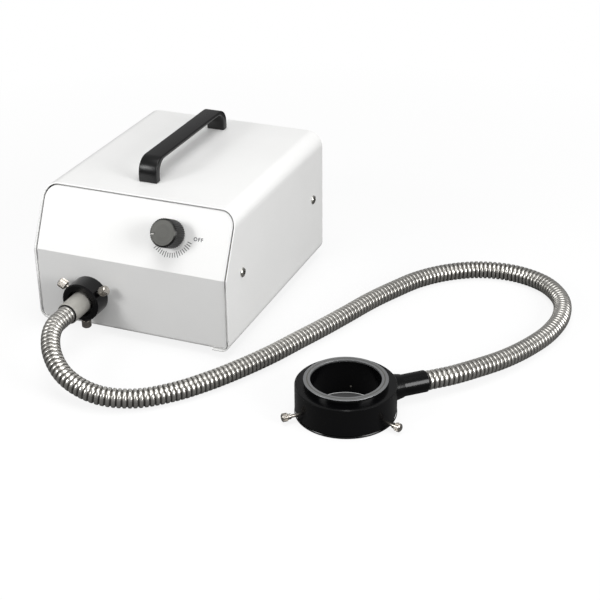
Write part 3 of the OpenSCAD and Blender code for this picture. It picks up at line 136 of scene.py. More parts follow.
@dataclass(frozen=True)
class Finish:
    """One real material and its surface."""

    name: str
    colour: str
    surface: Surface
    roughness: float
    metallic: float = 0.0
    ior: float = 1.5
    grain_mm: float = 0.5
    relief_mm: float = 0.01
    tone: float = 0.06
    swing: float = 0.08
    coat: float = 0.0
    transmission: float = 0.0
    cloud_mm: float = 38.0
    centre: Point = (0.0, 0.0, 0.0)
    axis: Point = (0.0, 0.0, 1.0)

    def build(self) -> Material:
        """Makes the node material.

        Returns:
            The material, with colour, roughness and bump from the surface's pattern.
        """
        material = bpy.data.materials.new(self.name)
        tree = open_nodes(material)
        place = self.placed(tree)
        pattern = self.pattern(tree, place)
        cloud = add_node(tree, "ShaderNodeTexNoise", {
            "Vector": place, "Scale": 1 / (self.cloud_mm * MM), "Detail": 3.0, "Roughness": 0.6})
        rough = add_node(tree, "ShaderNodeMapRange", {
            "Value": self.blend(tree, pattern, cloud), "From Min": 0.25, "From Max": 0.75,
            "To Min": max(self.roughness - self.swing, 0.02),
            "To Max": min(self.roughness + self.swing, 1.0)})
        bump = add_node(tree, "ShaderNodeBump", {
            "Strength": 1.0, "Distance": self.relief_mm * MM, "Height": pattern})
        shader = add_node(tree, "ShaderNodeBsdfPrincipled", {
            "Base Color": self.shade(tree, pattern, cloud), "Metallic": self.metallic, "Roughness": rough,
            "IOR": self.ior, "Normal": bump, "Coat Weight": self.coat, "Coat Roughness": 0.25,
            "Transmission Weight": self.transmission})
        add_node(tree, "ShaderNodeOutputMaterial", {"Surface": shader}, is_active_output=True)
        return material

    def placed(self, tree: NodeTree) -> Node:
        """Gives object coordinates, centred on the piece and turned so that its axis is Z.

        Args:
            tree: The material's nodes.

        Returns:
            The node that gives them.
        """
        coords = add_node(tree, "ShaderNodeTexCoord").outputs["Object"]
        turn = UP.rotation_difference(Vector(self.axis)).to_euler()
        return add_node(tree, "ShaderNodeMapping", {
            "Vector": coords, "Location": self.centre, "Rotation": turn}, vector_type="TEXTURE")

    def pattern(self, tree: NodeTree, place: Node) -> Node:
        """Draws the surface's own pattern.

        Args:
            tree: The material's nodes.
            place: Coordinates on the piece, in metres.

        Returns:
            The node that gives a height from 0 to 1.
        """
        scale = 1 / (self.grain_mm * MM)
        if self.surface is Surface.TURNED:
            flat = add_node(tree, "ShaderNodeVectorMath", {0: place, 1: (1, 1, 0)}, operation="MULTIPLY")
            radius = add_node(tree, "ShaderNodeVectorMath", {0: flat}, operation="LENGTH")
            parts = add_node(tree, "ShaderNodeSeparateXYZ", {0: place})
            place = add_node(tree, "ShaderNodeCombineXYZ", {
                "X": radius.outputs["Value"], "Z": parts.outputs["Z"]})
        if self.surface in STRETCHED:
            place = add_node(tree, "ShaderNodeMapping", {"Vector": place, "Scale": STRETCHED[self.surface]})
        if self.surface is Surface.STRANDED:
            return add_node(tree, "ShaderNodeTexVoronoi", {
                "Vector": place, "Scale": scale, "Randomness": 0.7})
        rough = 0.75 if self.surface is Surface.MOULDED else 0.5
        return add_node(tree, "ShaderNodeTexNoise", {
            "Vector": place, "Scale": scale, "Detail": 2.0, "Roughness": rough})

    def blend(self, tree: NodeTree, pattern: Node, cloud: Node) -> Node:
        """Averages the fine pattern and the broad cloud."""
        return add_node(tree, "ShaderNodeMix", {"Factor": 0.5, "A": pattern, "B": cloud})

    def shade(self, tree: NodeTree, pattern: Node, cloud: Node) -> Link:
        """Varies the colour by the tone.

        Args:
            tree: The material's nodes.
            pattern: Fine pattern, 0 to 1.
            cloud: Broad variation, 0 to 1.

        Returns:
            The colour.
        """
        base = hex_linear(self.colour)
        dark = tuple(c * (1 - self.tone) for c in base[:3]) + (1.0,)
        light = tuple(min(c * (1 + self.tone), 1.0) for c in base[:3]) + (1.0,)
        ramp = add_node(tree, "ShaderNodeValToRGB", {"Fac": self.blend(tree, pattern, cloud)})
        for stop, position, colour in zip(ramp.color_ramp.elements, (0.35, 0.65), (dark, light)):
            stop.position = position
            stop.color = colour
        return ramp


@dataclass(frozen=True)
class HoseSteel(Finish):
    """Interlocked steel strip: polished crests, with painted shade darkening the grooves.

    It reads the groove attribute that the hose's geometry nodes store on the mesh.
    """

    # Painted shade for the grooves, mixed in where the groove attribute is high.
    groove_shade_colour: str = "#5b5853"

    def shade(self, tree: NodeTree, pattern: Node, cloud: Node) -> Link:
        """Darkens the grooves between the crests with painted shade.

        Args:
            tree: The material's nodes.
            pattern: Fine pattern, 0 to 1.
            cloud: Broad variation, 0 to 1.

        Returns:
            The colour.
        """
        crest = super().shade(tree, pattern, cloud)
        groove = add_node(tree, "ShaderNodeAttribute", attribute_name="groove")
        return add_node(tree, "ShaderNodeMix", {
            "Factor": groove.outputs["Fac"], "A": crest, "B": hex_linear(self.groove_shade_colour)},
            data_type="RGBA").outputs["Result"]


FINISHES = {
    "white_enamel": Finish(
        "powder_coated_steel_white", "#F3F3F2", Surface.SPRAYED, 0.36, grain_mm=0.9, relief_mm=0.004,
        tone=0.012, swing=0.05),
    "zinc_screw": Finish(
        "zinc_plated_steel", "#B9B8B3", Surface.ROLLED, 0.24, 1.0, grain_mm=0.35, relief_mm=0.006,
        tone=0.10),
    "rubber_foot": Finish(
        "nitrile_rubber_moulded", "#1B1B1B", Surface.MOULDED, 0.72, grain_mm=0.3, relief_mm=0.02),
    "handle_black": Finish(
        "abs_black_satin", "#09090a", Surface.MOULDED, 0.30, ior=1.42, grain_mm=0.35, relief_mm=0.006,
        tone=0.15),
    "black_anodised": Finish(
        "anodised_aluminium_black", "#040405", Surface.SPRAYED, 0.20, ior=1.36, grain_mm=0.25,
        relief_mm=0.002, tone=0.2, swing=0.04),
    "satin_aluminium": Finish(
        "turned_aluminium_satin", "#B3B1AB", Surface.ROLLED, 0.46, 0.5, grain_mm=0.3, relief_mm=0.003),
    "nickel_screw": Finish(
        "nickel_plated_brass", "#B7B2AB", Surface.SPRAYED, 0.2, 1.0, grain_mm=0.3, relief_mm=0.002,
        tone=0.08),
    "hose_steel": HoseSteel(
        "interlocked_stainless_strip", "#CFCDC8", Surface.ROLLED, 0.30, 1.0, grain_mm=0.7, relief_mm=0.004,
        tone=0.10, swing=0.07),
    "dark_ring": Finish("pvc_sleeve_black", "#191919", Surface.MOULDED, 0.5, grain_mm=0.3),
    "fibre_glass": Finish(
        "glass_fibre_ends_ground", "#55544f", Surface.STRANDED, 0.35, grain_mm=0.35, relief_mm=0.03,
        tone=0.25),
    "knob_plastic": Finish(
        "phenolic_black", "#070707", Surface.MOULDED, 0.30, ior=1.36, grain_mm=0.3, relief_mm=0.004,
        tone=0.15),
    "spun_disc": Finish(
        "aluminium_spun", "#8f8f8a", Surface.TURNED, 0.30, 1.0, grain_mm=0.22, relief_mm=0.012, tone=0.16),
    "plain_steel": Finish(
        "cold_rolled_steel", "#9EA0A3", Surface.ROLLED, 0.38, 1.0, grain_mm=0.4, relief_mm=0.004),
    "core_iron": Finish(
        "silicon_steel_stacked", "#4d4f53", Surface.STACKED, 0.5, 0.8, relief_mm=0.12,
        tone=0.3),
    "coil_tape": Finish(
        "polyester_tape_amber", "#c39a35", Surface.ROLLED, 0.28, grain_mm=6.0, relief_mm=0.05, tone=0.12,
        coat=0.4),
    "board_green": Finish(
        "glass_epoxy_board", "#24583a", Surface.SPRAYED, 0.3, grain_mm=0.6, relief_mm=0.005, tone=0.15,
        coat=0.3),
    "capacitor_blue": Finish("pvc_shrink_sleeve_blue", "#2d3a5a", Surface.PLAIN, 0.25, coat=0.3),
    "post_brass": Finish(
        "free_cutting_brass", "#C2A35B", Surface.ROLLED, 0.3, 1.0, grain_mm=0.3, relief_mm=0.004),
    "mirror_glass": Finish(
        "dichroic_coated_glass", "#C9D2DA", Surface.SPRAYED, 0.08, 0.9, grain_mm=3.0, relief_mm=0.03,
        tone=0.08, swing=0.03),
    "lamp_quartz": Finish(
        "fused_quartz_clear", "#F4F7F8", Surface.PLAIN, 0.03, ior=1.46, transmission=1.0, tone=0.01,
        swing=0.02),
    "filter_glass": Finish(
        "heat_glass_pale_green", "#CFEDE4", Surface.PLAIN, 0.04, ior=1.52, transmission=0.9, tone=0.01,
        swing=0.02),
    "ceramic": Finish("steatite_ceramic", "#E2DCCB", Surface.MOULDED, 0.62, grain_mm=0.4),
    "fan_black": Finish(
        "glass_filled_nylon_black", "#17171A", Surface.MOULDED, 0.48, grain_mm=0.4, relief_mm=0.012,
        tone=0.12),
    "guard_wire": Finish("chrome_plated_wire", "#C9CBCC", Surface.PLAIN, 0.14, 1.0, tone=0.05, swing=0.05),
    "inlet_black": Finish(
        "thermoplastic_black_matt", "#141416", Surface.MOULDED, 0.5, grain_mm=0.35,
        tone=0.12),
    "wire_cream": Finish("silicone_insulation_cream", "#DDD6C2", Surface.PLAIN, 0.5),
    "wire_brown": Finish("pvc_insulation_brown", "#5c3d25", Surface.PLAIN, 0.4),
    "wire_red": Finish("pvc_insulation_red", "#8b2626", Surface.PLAIN, 0.4),
}


class Paints:
    """Builds each finish once and hands out its material."""

    def __init__(self) -> None:
        """Starts with nothing built and reads the record's slots."""
        self.made: dict[str, Material] = {}
        self.slots = {part["node"]: part["material_slot"] for part in frame["record"]["subparts"]}

    def take(self, finish: Finish) -> Material:
        """Gives the finish's material, built on first use.

        Args:
            finish: The finish.

        Returns:
            Its material.
        """
        if finish.name not in self.made:
            self.made[finish.name] = finish.build()
        return self.made[finish.name]

    def of_slot(self, slot: str) -> Material:
        """Gives the material of a record slot."""
        return self.take(FINISHES[slot])

    def of_node(self, node: str) -> Material:
        """Gives the material of a CAD node."""
        return self.of_slot(self.slots[node])


PAINTS = Paints()


# ---- mesh helpers


def show(name: str, mesh: Mesh, *materials: Material) -> Object:
    """Links a mesh into the scene under a name.

    Args:
        name: The piece's name.
        mesh: Its mesh, in place.
        *materials: Its materials in slot order.

    Returns:
        The object, at the origin.
    """
    obj = bpy.data.objects.new(name, mesh)
    bpy.context.scene.collection.objects.link(obj)
    if materials:
        mesh.materials.clear()
        for material in materials:
            mesh.materials.append(material)
    LOG.info("%s: %d faces", name, len(mesh.polygons))
    return obj


def evaluated(obj: Object) -> Mesh:
    """Gives an object's mesh as its modifiers leave it."""
    graph = bpy.context.evaluated_depsgraph_get()
    return bpy.data.meshes.new_from_object(obj.evaluated_get(graph))


def baked(obj: Object) -> Object:
    """Turns an object's modifiers into a plain mesh.

    Args:
        obj: The object with its modifiers set.

    Returns:
        The same object, with the result as its mesh and no modifier.
    """
    mesh = evaluated(obj)
    mesh.name = obj.name
    obj.modifiers.clear()
    old = obj.data
    obj.data = mesh
    bpy.data.meshes.remove(old)
    return obj


def mesh_of(build: bmesh.types.BMesh, name: str) -> Mesh:
    """Turns a finished bmesh into a mesh and frees it.

    Args:
        build: The bmesh.
        name: The mesh's name.

    Returns:
        The mesh.
    """
    mesh = bpy.data.meshes.new(name)
    build.to_mesh(mesh)
    build.free()
    return mesh


def box_mesh(name: str, size: Point, place: Matrix, edge: float = 0.0) -> Mesh:
    """Makes a box, with rounded edges where a width is given.

    Args:
        name: The mesh's name.
        size: Its three sides in metres.
        place: Where its centre and axes go.
        edge: The rounding in metres.

    Returns:
        The mesh.
    """
    build = bmesh.new()
    bmesh.ops.create_cube(build, size=1.0)
    bmesh.ops.scale(build, vec=size, verts=build.verts)
    if edge:
        bmesh.ops.bevel(build, geom=build.edges[:], offset=edge, segments=2, affect="EDGES")
    bmesh.ops.transform(build, matrix=place, verts=build.verts)
    return mesh_of(build, name)


def curve_mesh(curve: Curve) -> Mesh:
    """Turns a curve or a text into a mesh.

    Args:
        curve: The curve or text.

    Returns:
        The mesh.
    """
    holder = bpy.data.objects.new(curve.name, curve)
    bpy.context.scene.collection.objects.link(holder)
    mesh = evaluated(holder)
    bpy.data.objects.remove(holder)
    return mesh


def smoothed(mesh: Mesh, sharp_deg: float = 0.0) -> Mesh:
    """Shades a mesh smooth, with sharp edges past an angle where one is given.

    Args:
        mesh: The mesh.
        sharp_deg: The angle past which an edge stays sharp.

    Returns:
        The same mesh.
    """
    for face in mesh.polygons:
        face.use_smooth = True
    if sharp_deg:
        mesh.set_sharp_from_angle(angle=math.radians(sharp_deg))
    return mesh


def rounded(piece: Object, width: float, segments: int, sharp_deg: float, flat: bool = True) -> Object:
    """Rounds the edges that are sharper than an angle, and bakes the result.

    Args:
        piece: The piece to round.
        width: The rounding in metres.
        segments: Steps across the rounding.
        sharp_deg: The least angle that is rounded.
        flat: Whether the faces between stay shaded flat.

    Returns:
        The piece.
    """
    bevel = piece.modifiers.new("edges", "BEVEL")
    bevel.width = width
    bevel.segments = segments
    bevel.limit_method = "ANGLE"
    bevel.angle_limit = math.radians(sharp_deg)
    bevel.harden_normals = flat
    return baked(piece)


def lathe(profile: Outline, sides: int, place: Matrix, unit: float = 1.0) -> Mesh:
    """Turns a closed profile round local Z.

    Args:
        profile: Radius and height pairs, on the axis at both ends or closed.
        sides: Faces round the axis.
        place: Where local space goes.
        unit: The profile's unit in metres.

    Returns:
        The mesh, its faces outwards.
    """
    build = bmesh.new()
    rings = []
    for radius, height in [(r * unit, h * unit) for r, h in profile]:
        if radius < 1e-7:
            rings.append([build.verts.new((0, 0, height))])
            continue
        turns = [2 * math.pi * k / sides for k in range(sides)]
        rings.append([build.verts.new((radius * math.cos(t), radius * math.sin(t), height)) for t in turns])
    pairs = list(zip(rings, rings[1:]))
    if len(rings[0]) > 1:
        pairs.append((rings[-1], rings[0]))
    for lower, upper in pairs:
        for k in range(sides):
            n = (k + 1) % sides
            low, high = len(lower), len(upper)
            corners = [lower[k % low], lower[n % low], upper[n % high], upper[k % high]]
            corners = list(dict.fromkeys(corners))
            if len(corners) > 2:
                build.faces.new(corners)
    bmesh.ops.transform(build, matrix=place, verts=build.verts)
    bmesh.ops.recalc_face_normals(build, faces=build.faces)
    return mesh_of(build, "lathe")


def axis_place(centre: Point, axis: Point) -> Matrix:
    """Gives the matrix that puts local Z along an axis through a point."""
    turn = UP.rotation_difference(Vector(axis)).to_matrix().to_4x4()
    return Matrix.Translation(centre) @ turn


class Body(Enum):
    """The CAD bodies that pieces without a node of their own ride on."""

    BASE = "base"
    KNOB = "knob_turn_body"


def body_of_node(node: str) -> str:
    """Finds the body that a CAD node belongs to."""
    bodies = frame["record"]["behaviour"]["bodies"]
    return next(name for name, nodes in bodies.items() if node in nodes)


def settle(piece: Object, slot: str, *replaced: str, body: str = Body.BASE.value) -> Object:
    """Puts a finished piece on its body and hides the CAD nodes it replaces.

    Args:
        piece: The finished piece.
        slot: The record's material slot; not used.
        *replaced: The CAD nodes it stands for.
        body: The CAD body it rides on.

    Returns:
        The piece.
    """
    if replaced:
        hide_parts(*replaced)
    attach(piece, body)
    return piece


def painted(name: str, mesh: Mesh, slot: str, *replaced: str) -> Object:
    """Shows a mesh in its slot's own finish and settles it on the base.

    Args:
        name: The piece's name.
        mesh: Its mesh, in place.
        slot: The record's material slot.
        *replaced: The CAD nodes it stands for.

    Returns:
        The finished piece.
    """
    return settle(show(name, mesh, PAINTS.of_slot(slot)), slot, *replaced)


def dress(obj: Object, material: Material) -> None:
    """Gives an object one material in all its slots.

    Args:
        obj: The object.
        material: The material.
    """
    if not obj.material_slots:
        obj.data.materials.append(material)
    for slot in obj.material_slots:
        slot.material = material


@dataclass
class CrispCopy:
    """A CAD node's merged copy with small rounded edges that catch the light."""

    node: str
    edge_mm: float = 0.3
    segments: int = 2
    sharp_deg: float = 32.0
    weld: float = 0.002 * MM
    flat_deg: float = 0.6

    def merged(self) -> Mesh:
        """Copies the node's triangles, merges their corners and dissolves flat seams.

        Returns:
            The mesh.
        """
        build = bmesh.new()
        build.from_mesh(frame["nodes"][self.node].data)
        bmesh.ops.remove_doubles(build, verts=build.verts, dist=self.weld)
        flat = math.radians(self.flat_deg)
        bmesh.ops.dissolve_limit(build, angle_limit=flat, verts=build.verts, edges=build.edges)
        return mesh_of(build, self.node)

    def build(self) -> Object:
        """Makes the piece that stands for the node.

        Returns:
            The finished piece on the node's own body.
        """
        piece = show(self.node + "_dressed", self.merged(), PAINTS.of_node(self.node))
        smoothed(piece.data, self.sharp_deg)
        rounded(piece, self.edge_mm * MM, self.segments, self.sharp_deg)
        return settle(piece, PAINTS.slots[self.node], self.node, body=body_of_node(self.node))


# ---- geometry node trees


class Tree:
    """A geometry node tree with named inputs, built from a short list of nodes."""

    def __init__(self, name: str, sizes: dict[str, float | int]) -> None:
        """Opens the tree.

        Args:
            name: The tree's name.
            sizes: Named inputs with their values; whole numbers become integer sockets.
        """
        self.tree = bpy.data.node_groups.new(name, "GeometryNodeTree")
        self.sizes = sizes
        self.tree.interface.new_socket("Geometry", in_out="INPUT", socket_type="NodeSocketGeometry")
        for key, value in sizes.items():
            kind = "NodeSocketInt" if isinstance(value, int) else "NodeSocketFloat"
            self.tree.interface.new_socket(key, in_out="INPUT", socket_type=kind)
        self.tree.interface.new_socket("Finish", in_out="INPUT", socket_type="NodeSocketMaterial")
        self.tree.interface.new_socket("Geometry", in_out="OUTPUT", socket_type="NodeSocketGeometry")
        self.start = self.add("NodeGroupInput")

    def add(self, kind: str, inputs: dict | None = None, **settings: object) -> Node:
        """Adds one node to the tree."""
        return add_node(self.tree, kind, inputs, **settings)

    def __getitem__(self, key: str) -> NodeSocket:
        """Gives the socket of a named input."""
        return self.start.outputs[key]

    def math(self, operation: str, *values: object) -> NodeSocket:
        """Adds one sum and gives its result."""
        return self.add("ShaderNodeMath", dict(enumerate(values)), operation=operation).outputs[0]

    def close(self, geometry: Node) -> None:
        """Ends the tree in Realize Instances and Set Material.

        Args:
            geometry: The last of the tree's own nodes.
        """
        real = self.add("GeometryNodeRealizeInstances", {"Geometry": geometry})
        dressed = self.add("GeometryNodeSetMaterial", {"Geometry": real, "Material": self["Finish"]})
        self.add("NodeGroupOutput", {"Geometry": dressed})

    def run(self, name: str, mesh: Mesh, finish: Material) -> Object:
        """Runs the tree on a mesh.

        Args:
            name: The piece's name.
            mesh: The mesh that the tree starts from.
            finish: The material that it sets.

        Returns:
            The piece as a plain mesh.
        """
        piece = show(name, mesh)
        modifier = piece.modifiers.new(name, "NODES")
        modifier.node_group = self.tree
        values = dict(self.sizes, Finish=finish)
        for item in self.tree.interface.items_tree:
            if item.item_type == "SOCKET" and item.in_out == "INPUT" and item.name in values:
                modifier[item.identifier] = values[item.name]
        baked(piece)
        LOG.info("%s: %d faces after its tree", name, len(piece.data.polygons))
        return piece


# ---- light guide


@dataclass
class LightGuide:
    """The interlocked hose, its fibre bundle and the fittings at its two ends."""

    case: Point = (-0.088, -0.072, 0.0)
    socket: Point = (-0.040, -0.038, 0.038)
    ring: Point = (*RING_CENTRE[:2], 0.013)
    arm_reach: float = 0.070
    arm_turn: float = 42.0
    diameter: float = 0.016
    groove: float = 0.001
    crown: float = 0.001
    bundle: float = 0.0092
    bundle_fit: float = 0.97
    bundle_sides: int = 16
    bundle_in_arm: float = 0.030
    ribs: int = 200
    rings_per_rib: int = 9
    sides: int = 32
    route_mm: list[Point] = field(default_factory=lambda: [
        (-117, -156, 32), (-94, -175, 21), (-64, -179, 12.5), (-35, -168, 8.6),
        (-10, -146, 8), (9, -120, 8), (25, -92, 8), (39, -63, 8), (51, -33, 8),
        (63, -3, 8), (74, 27, 8), (85, 58, 8), (98, 87, 8), (113, 115, 8),
        (135, 139, 8), (163, 155, 8), (195, 158, 8), (225, 146, 8), (245, 121, 8),
        (252, 90, 8), (249, 58, 8), (239, 27, 8.6), (225, -3, 10), (208, -30, 12)])

    def __post_init__(self) -> None:
        """Works out the ends, their directions and the knots between them."""
        turn = math.radians(self.arm_turn)
        out = Vector((math.cos(turn), math.sin(turn), 0))
        self.start = Vector(self.case) + Vector(self.socket)
        self.end = Vector(self.ring) + self.arm_reach * out
        self.start_dir, self.end_dir = Vector((0, -1, 0)), -out
        self.knots = [self.start + self.diameter * self.start_dir]
        self.knots += [Vector(p) * MM for p in self.route_mm]
        self.knots.append(self.end - self.diameter * self.end_dir)

    def speed(self, i: int) -> Vector:
        """Gives the direction and speed of the route at knot i.

        Args:
            i: The knot's number.

        Returns:
            The route's speed there.
        """
        last = len(self.knots) - 1
        if i == 0:
            return (self.knots[1] - self.knots[0]).length * self.start_dir
        if i == last:
            return (self.knots[last] - self.knots[last - 1]).length * self.end_dir
        return (self.knots[i + 1] - self.knots[i - 1]) / 2

    def between(self, i: int, f: float) -> Vector:
        """Gives the point at share f of the way from knot i to the next.

        Args:
            i: The knot's number.
            f: The share, 0 to 1.

        Returns:
            The point, kept above the table.
        """
        p = ((2 * f ** 3 - 3 * f ** 2 + 1) * self.knots[i] + (f ** 3 - 2 * f ** 2 + f) * self.speed(i)
             + (3 * f ** 2 - 2 * f ** 3) * self.knots[i + 1] + (f ** 3 - f ** 2) * self.speed(i + 1))
        p.z = max(p.z, self.diameter / 2)
        return p

    def path(self, steps: int = 10) -> list[Vector]:
        """Lists close points along the whole route.

        Args:
            steps: Points for each stretch between knots.

        Returns:
            Points in metres from the ferrule to the arm.
        """
        points = [self.start]
        for i in range(len(self.knots) - 1):
            points += [self.between(i, k / steps) for k in range(steps)]
        return points + [self.knots[-1], self.end]

    def line(self, points: list[Vector]) -> Mesh:
        """Makes a mesh of edges through the points.

        Args:
            points: The points in order.

        Returns:
            The mesh.
        """
        mesh = bpy.data.meshes.new("line")
        mesh.from_pydata(points, [(i, i + 1) for i in range(len(points) - 1)], [])
        return mesh

    def rib_tree(self) -> Tree:
        """Builds the tree that sweeps a ribbed tube along a line and marks its grooves for the painted shade.

        Returns:
            The tree.
        """
        tree = Tree("interlocked_hose", {
            "Ribs": self.ribs, "Rings per rib": self.rings_per_rib, "Sides": self.sides,
            "Crest radius": self.diameter / 2, "Groove depth": self.groove})
        curve = tree.add("GeometryNodeMeshToCurve", {"Mesh": tree["Geometry"]})
        count = tree.math("ADD", tree.math("MULTIPLY", tree["Ribs"], tree["Rings per rib"]), 1.0)
        line = tree.add("GeometryNodeResampleCurve", {"Curve": curve, "Count": count})
        factor = tree.add("GeometryNodeSplineParameter")
        phase = tree.math("FRACT", tree.math("MULTIPLY", factor, tree["Ribs"]))
        off_crest = tree.math("ABSOLUTE", tree.math("SUBTRACT", phase, 0.5))
        groove = tree.add("ShaderNodeMapRange", {
            "Value": off_crest, "From Min": 0.24, "From Max": 0.44}, interpolation_type="SMOOTHSTEP")
        depth = tree.math("MULTIPLY", groove, tree["Groove depth"])
        crown = tree.math("MULTIPLY", tree.math("MULTIPLY", off_crest, off_crest), self.crown)
        radius = tree.math("SUBTRACT", tree.math("SUBTRACT", tree["Crest radius"], depth), crown)
        # The groove mark carries the painted shade that the hose's material puts in the grooves.
        marked = tree.add("GeometryNodeStoreNamedAttribute", {
            "Geometry": line, "Name": "groove", "Value": groove},
            data_type="FLOAT", domain="POINT")
        sized = tree.add("GeometryNodeSetCurveRadius", {"Curve": marked, "Radius": radius})
        ring = tree.add("GeometryNodeCurvePrimitiveCircle", {"Resolution": tree["Sides"], "Radius": 1.0})
        sweep = tree.add("GeometryNodeCurveToMesh", {
            "Curve": sized, "Profile Curve": ring, "Fill Caps": True})
        if "Scale" in sweep.inputs:
            tree.tree.links.new(radius, sweep.inputs["Scale"])
        smooth = tree.add("GeometryNodeSetShadeSmooth", {"Geometry": sweep})
        tree.close(smooth)
        return tree

    def core(self, points: list[Vector]) -> Mesh:
        """Makes the fibre bundle, a closed tube along points.

        Args:
            points: The points in order.

        Returns:
            The mesh.
        """
        curve = bpy.data.curves.new("fibre_bundle_core", "CURVE")
        curve.dimensions = "3D"
        curve.bevel_depth = self.bundle / 2 * self.bundle_fit
        curve.bevel_resolution = self.bundle_sides // 4 - 1
        curve.use_fill_caps = True
        spline = curve.splines.new("POLY")
        spline.points.add(len(points) - 1)
        for spot, point in zip(spline.points, points):
            spot.co = (*point, 1.0)
        return curve_mesh(curve)

    def socket_place(self) -> Matrix:
        """Gives the matrix whose Z leaves the case along the socket's axis."""
        return axis_place((self.start.x, self.case[1], self.start.z), tuple(self.start_dir))

    def crimp(self) -> Object:
        """Turns the ferrule's end: a light collar with a thin dark ring round the hose.

        Returns:
            The finished piece.
        """
        place = self.socket_place()
        collar_end = 38.0
        outline = [(5.0, 36.62), (9.4, 36.62), (9.4, 37.6), (9.0, collar_end), (8.8, collar_end), (8.8, 38.5),
                   (5.0, 38.5)]
        mesh = smoothed(lathe(outline, 96, place, MM), 30)
        light, dark = PAINTS.of_slot("satin_aluminium"), PAINTS.of_slot("dark_ring")
        piece = show("ferrule_crimp_dressed", mesh, light, dark)
        away = place.inverted()
        for face in mesh.polygons:
            face.material_index = int((away @ face.center).z > (collar_end + 0.05) * MM)
        return settle(piece, "dark_ring", "ferrule_crimp")

    def build(self) -> None:
        points = self.path()
        hose = self.rib_tree().run("light_guide_hose", self.line(points), PAINTS.of_slot("hose_steel"))
        settle(hose, "hose_steel", "hose")
        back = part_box("fibre_bundle")[1][1]
        inner = [Vector((self.start.x, back, self.start.z)), *points,
                 self.end + self.bundle_in_arm * self.end_dir]
        painted("fibre_bundle_core", self.core(inner), "fibre_glass", "fibre_bundle")
        ferrule = CrispCopy("ferrule", 0.35).build()
        crimp = self.crimp()


# ---- thumbscrews


@dataclass
class Thumbscrew:
    """A screw with a straight-knurled head that stands for its plainer CAD node."""

    node: str
    origin: Point
    axis: Point
    thread: float
    tip: float
    head: float
    head_d: float
    head_len: float
    collar: float = 0.0
    ridges: int = 30
    slack: float = 0.00005
    knurl: float = 0.00028
    dimple: float = 0.0003

    def body(self) -> Mesh:
        """Turns the shank and the head's core, with its chamfers and face dimple.

        Returns:
            The mesh, in place.
        """
        r, t, h, n = self.head_d / 2, self.thread / 2 - self.slack, self.head, self.head_len
        core = r - self.knurl
        edge = r / 6
        profile = [(0, self.tip), (t * 0.6, self.tip), (t, self.tip + t / 2)]
        if self.collar:
            wide = r * 0.66
            profile += [(t, h - self.collar), (wide - edge / 2, h - self.collar),
                        (wide, h - self.collar + edge / 2), (wide, h)]
        else:
            profile.append((t, h))
        profile += [(core - edge, h), (core, h + edge), (core, h + n - edge), (core - edge, h + n),
                    (r * 0.45, h + n), (r * 0.3, h + n - self.dimple), (0, h + n - self.dimple)]
        return lathe(profile, 40, axis_place(self.origin, self.axis))

    def knurl_tree(self) -> Tree:
        """Builds the tree that stands ridges round the head.

        Returns:
            The tree.
        """
        edge = self.head_d / 10
        tree = Tree("knurl_" + self.node, {
            "Ridges": self.ridges, "Radius": self.head_d / 2 - 0.00022, "Base": self.head + edge,
            "Length": self.head_len - 2 * edge, "Ridge": self.head_d * math.pi / self.ridges * 0.52})
        circle = tree.add("GeometryNodeMeshCircle", {"Vertices": tree["Ridges"], "Radius": tree["Radius"]})
        bar = tree.add("GeometryNodeMeshCylinder", {
            "Vertices": 6, "Radius": tree.math("MULTIPLY", tree["Ridge"], 0.5),
            "Depth": tree["Length"]})
        height = tree.math("ADD", tree["Base"], tree.math("MULTIPLY", tree["Length"], 0.5))
        lift = tree.add("ShaderNodeCombineXYZ", {"Z": height})
        lifted = tree.add("GeometryNodeTransform", {"Geometry": circle, "Translation": lift})
        ridges = tree.add("GeometryNodeInstanceOnPoints", {"Points": lifted, "Instance": bar})
        tree.close(ridges)
        return tree

    def build(self) -> None:
        """Joins the knurl to the turned body and seats the screw."""
        finish = PAINTS.of_slot("nickel_screw")
        knurl = self.knurl_tree().run("knurl_start", bpy.data.meshes.new("start"), finish)
        knurl.data.transform(axis_place(self.origin, self.axis))
        build = bmesh.new()
        build.from_mesh(self.body())
        build.from_mesh(knurl.data)
        bpy.data.objects.remove(knurl)
        piece = show(self.node + "_knurled", smoothed(mesh_of(build, self.node), 35), finish)
        settle(piece, "nickel_screw", self.node, body=body_of_node(self.node))


@dataclass
class Thumbscrews:
    """The three screws of the light socket and the three of the ring head."""

    guide: LightGuide
    socket_y: float = -0.009
    ring_z: float = 0.0056

    def build(self) -> None:
        """Builds all six."""
        socket = (self.guide.start.x, self.guide.case[1] + self.socket_y, self.guide.start.z)
        for name, angle in (("left", 150), ("right", 30), ("bottom", 270)):
            turn = math.radians(angle)
            Thumbscrew("socket_screw_" + name, socket, (math.cos(turn), 0, math.sin(turn)), thread=0.004,
                       tip=0.0097, head=0.0193, head_d=0.0084, head_len=0.0076).build()
        ring = (*RING_CENTRE[:2], self.ring_z)
        for name, angle in (("back", 60), ("front", 180), ("right", 300)):
            turn = math.radians(angle + self.guide.arm_turn)
            Thumbscrew("ring_screw_" + name, ring, (math.cos(turn), math.sin(turn), 0), thread=0.003,
                       tip=0.0287, head=0.04895, head_d=0.007, head_len=0.005, collar=0.0026,
                       ridges=26).build()


# ---- dial


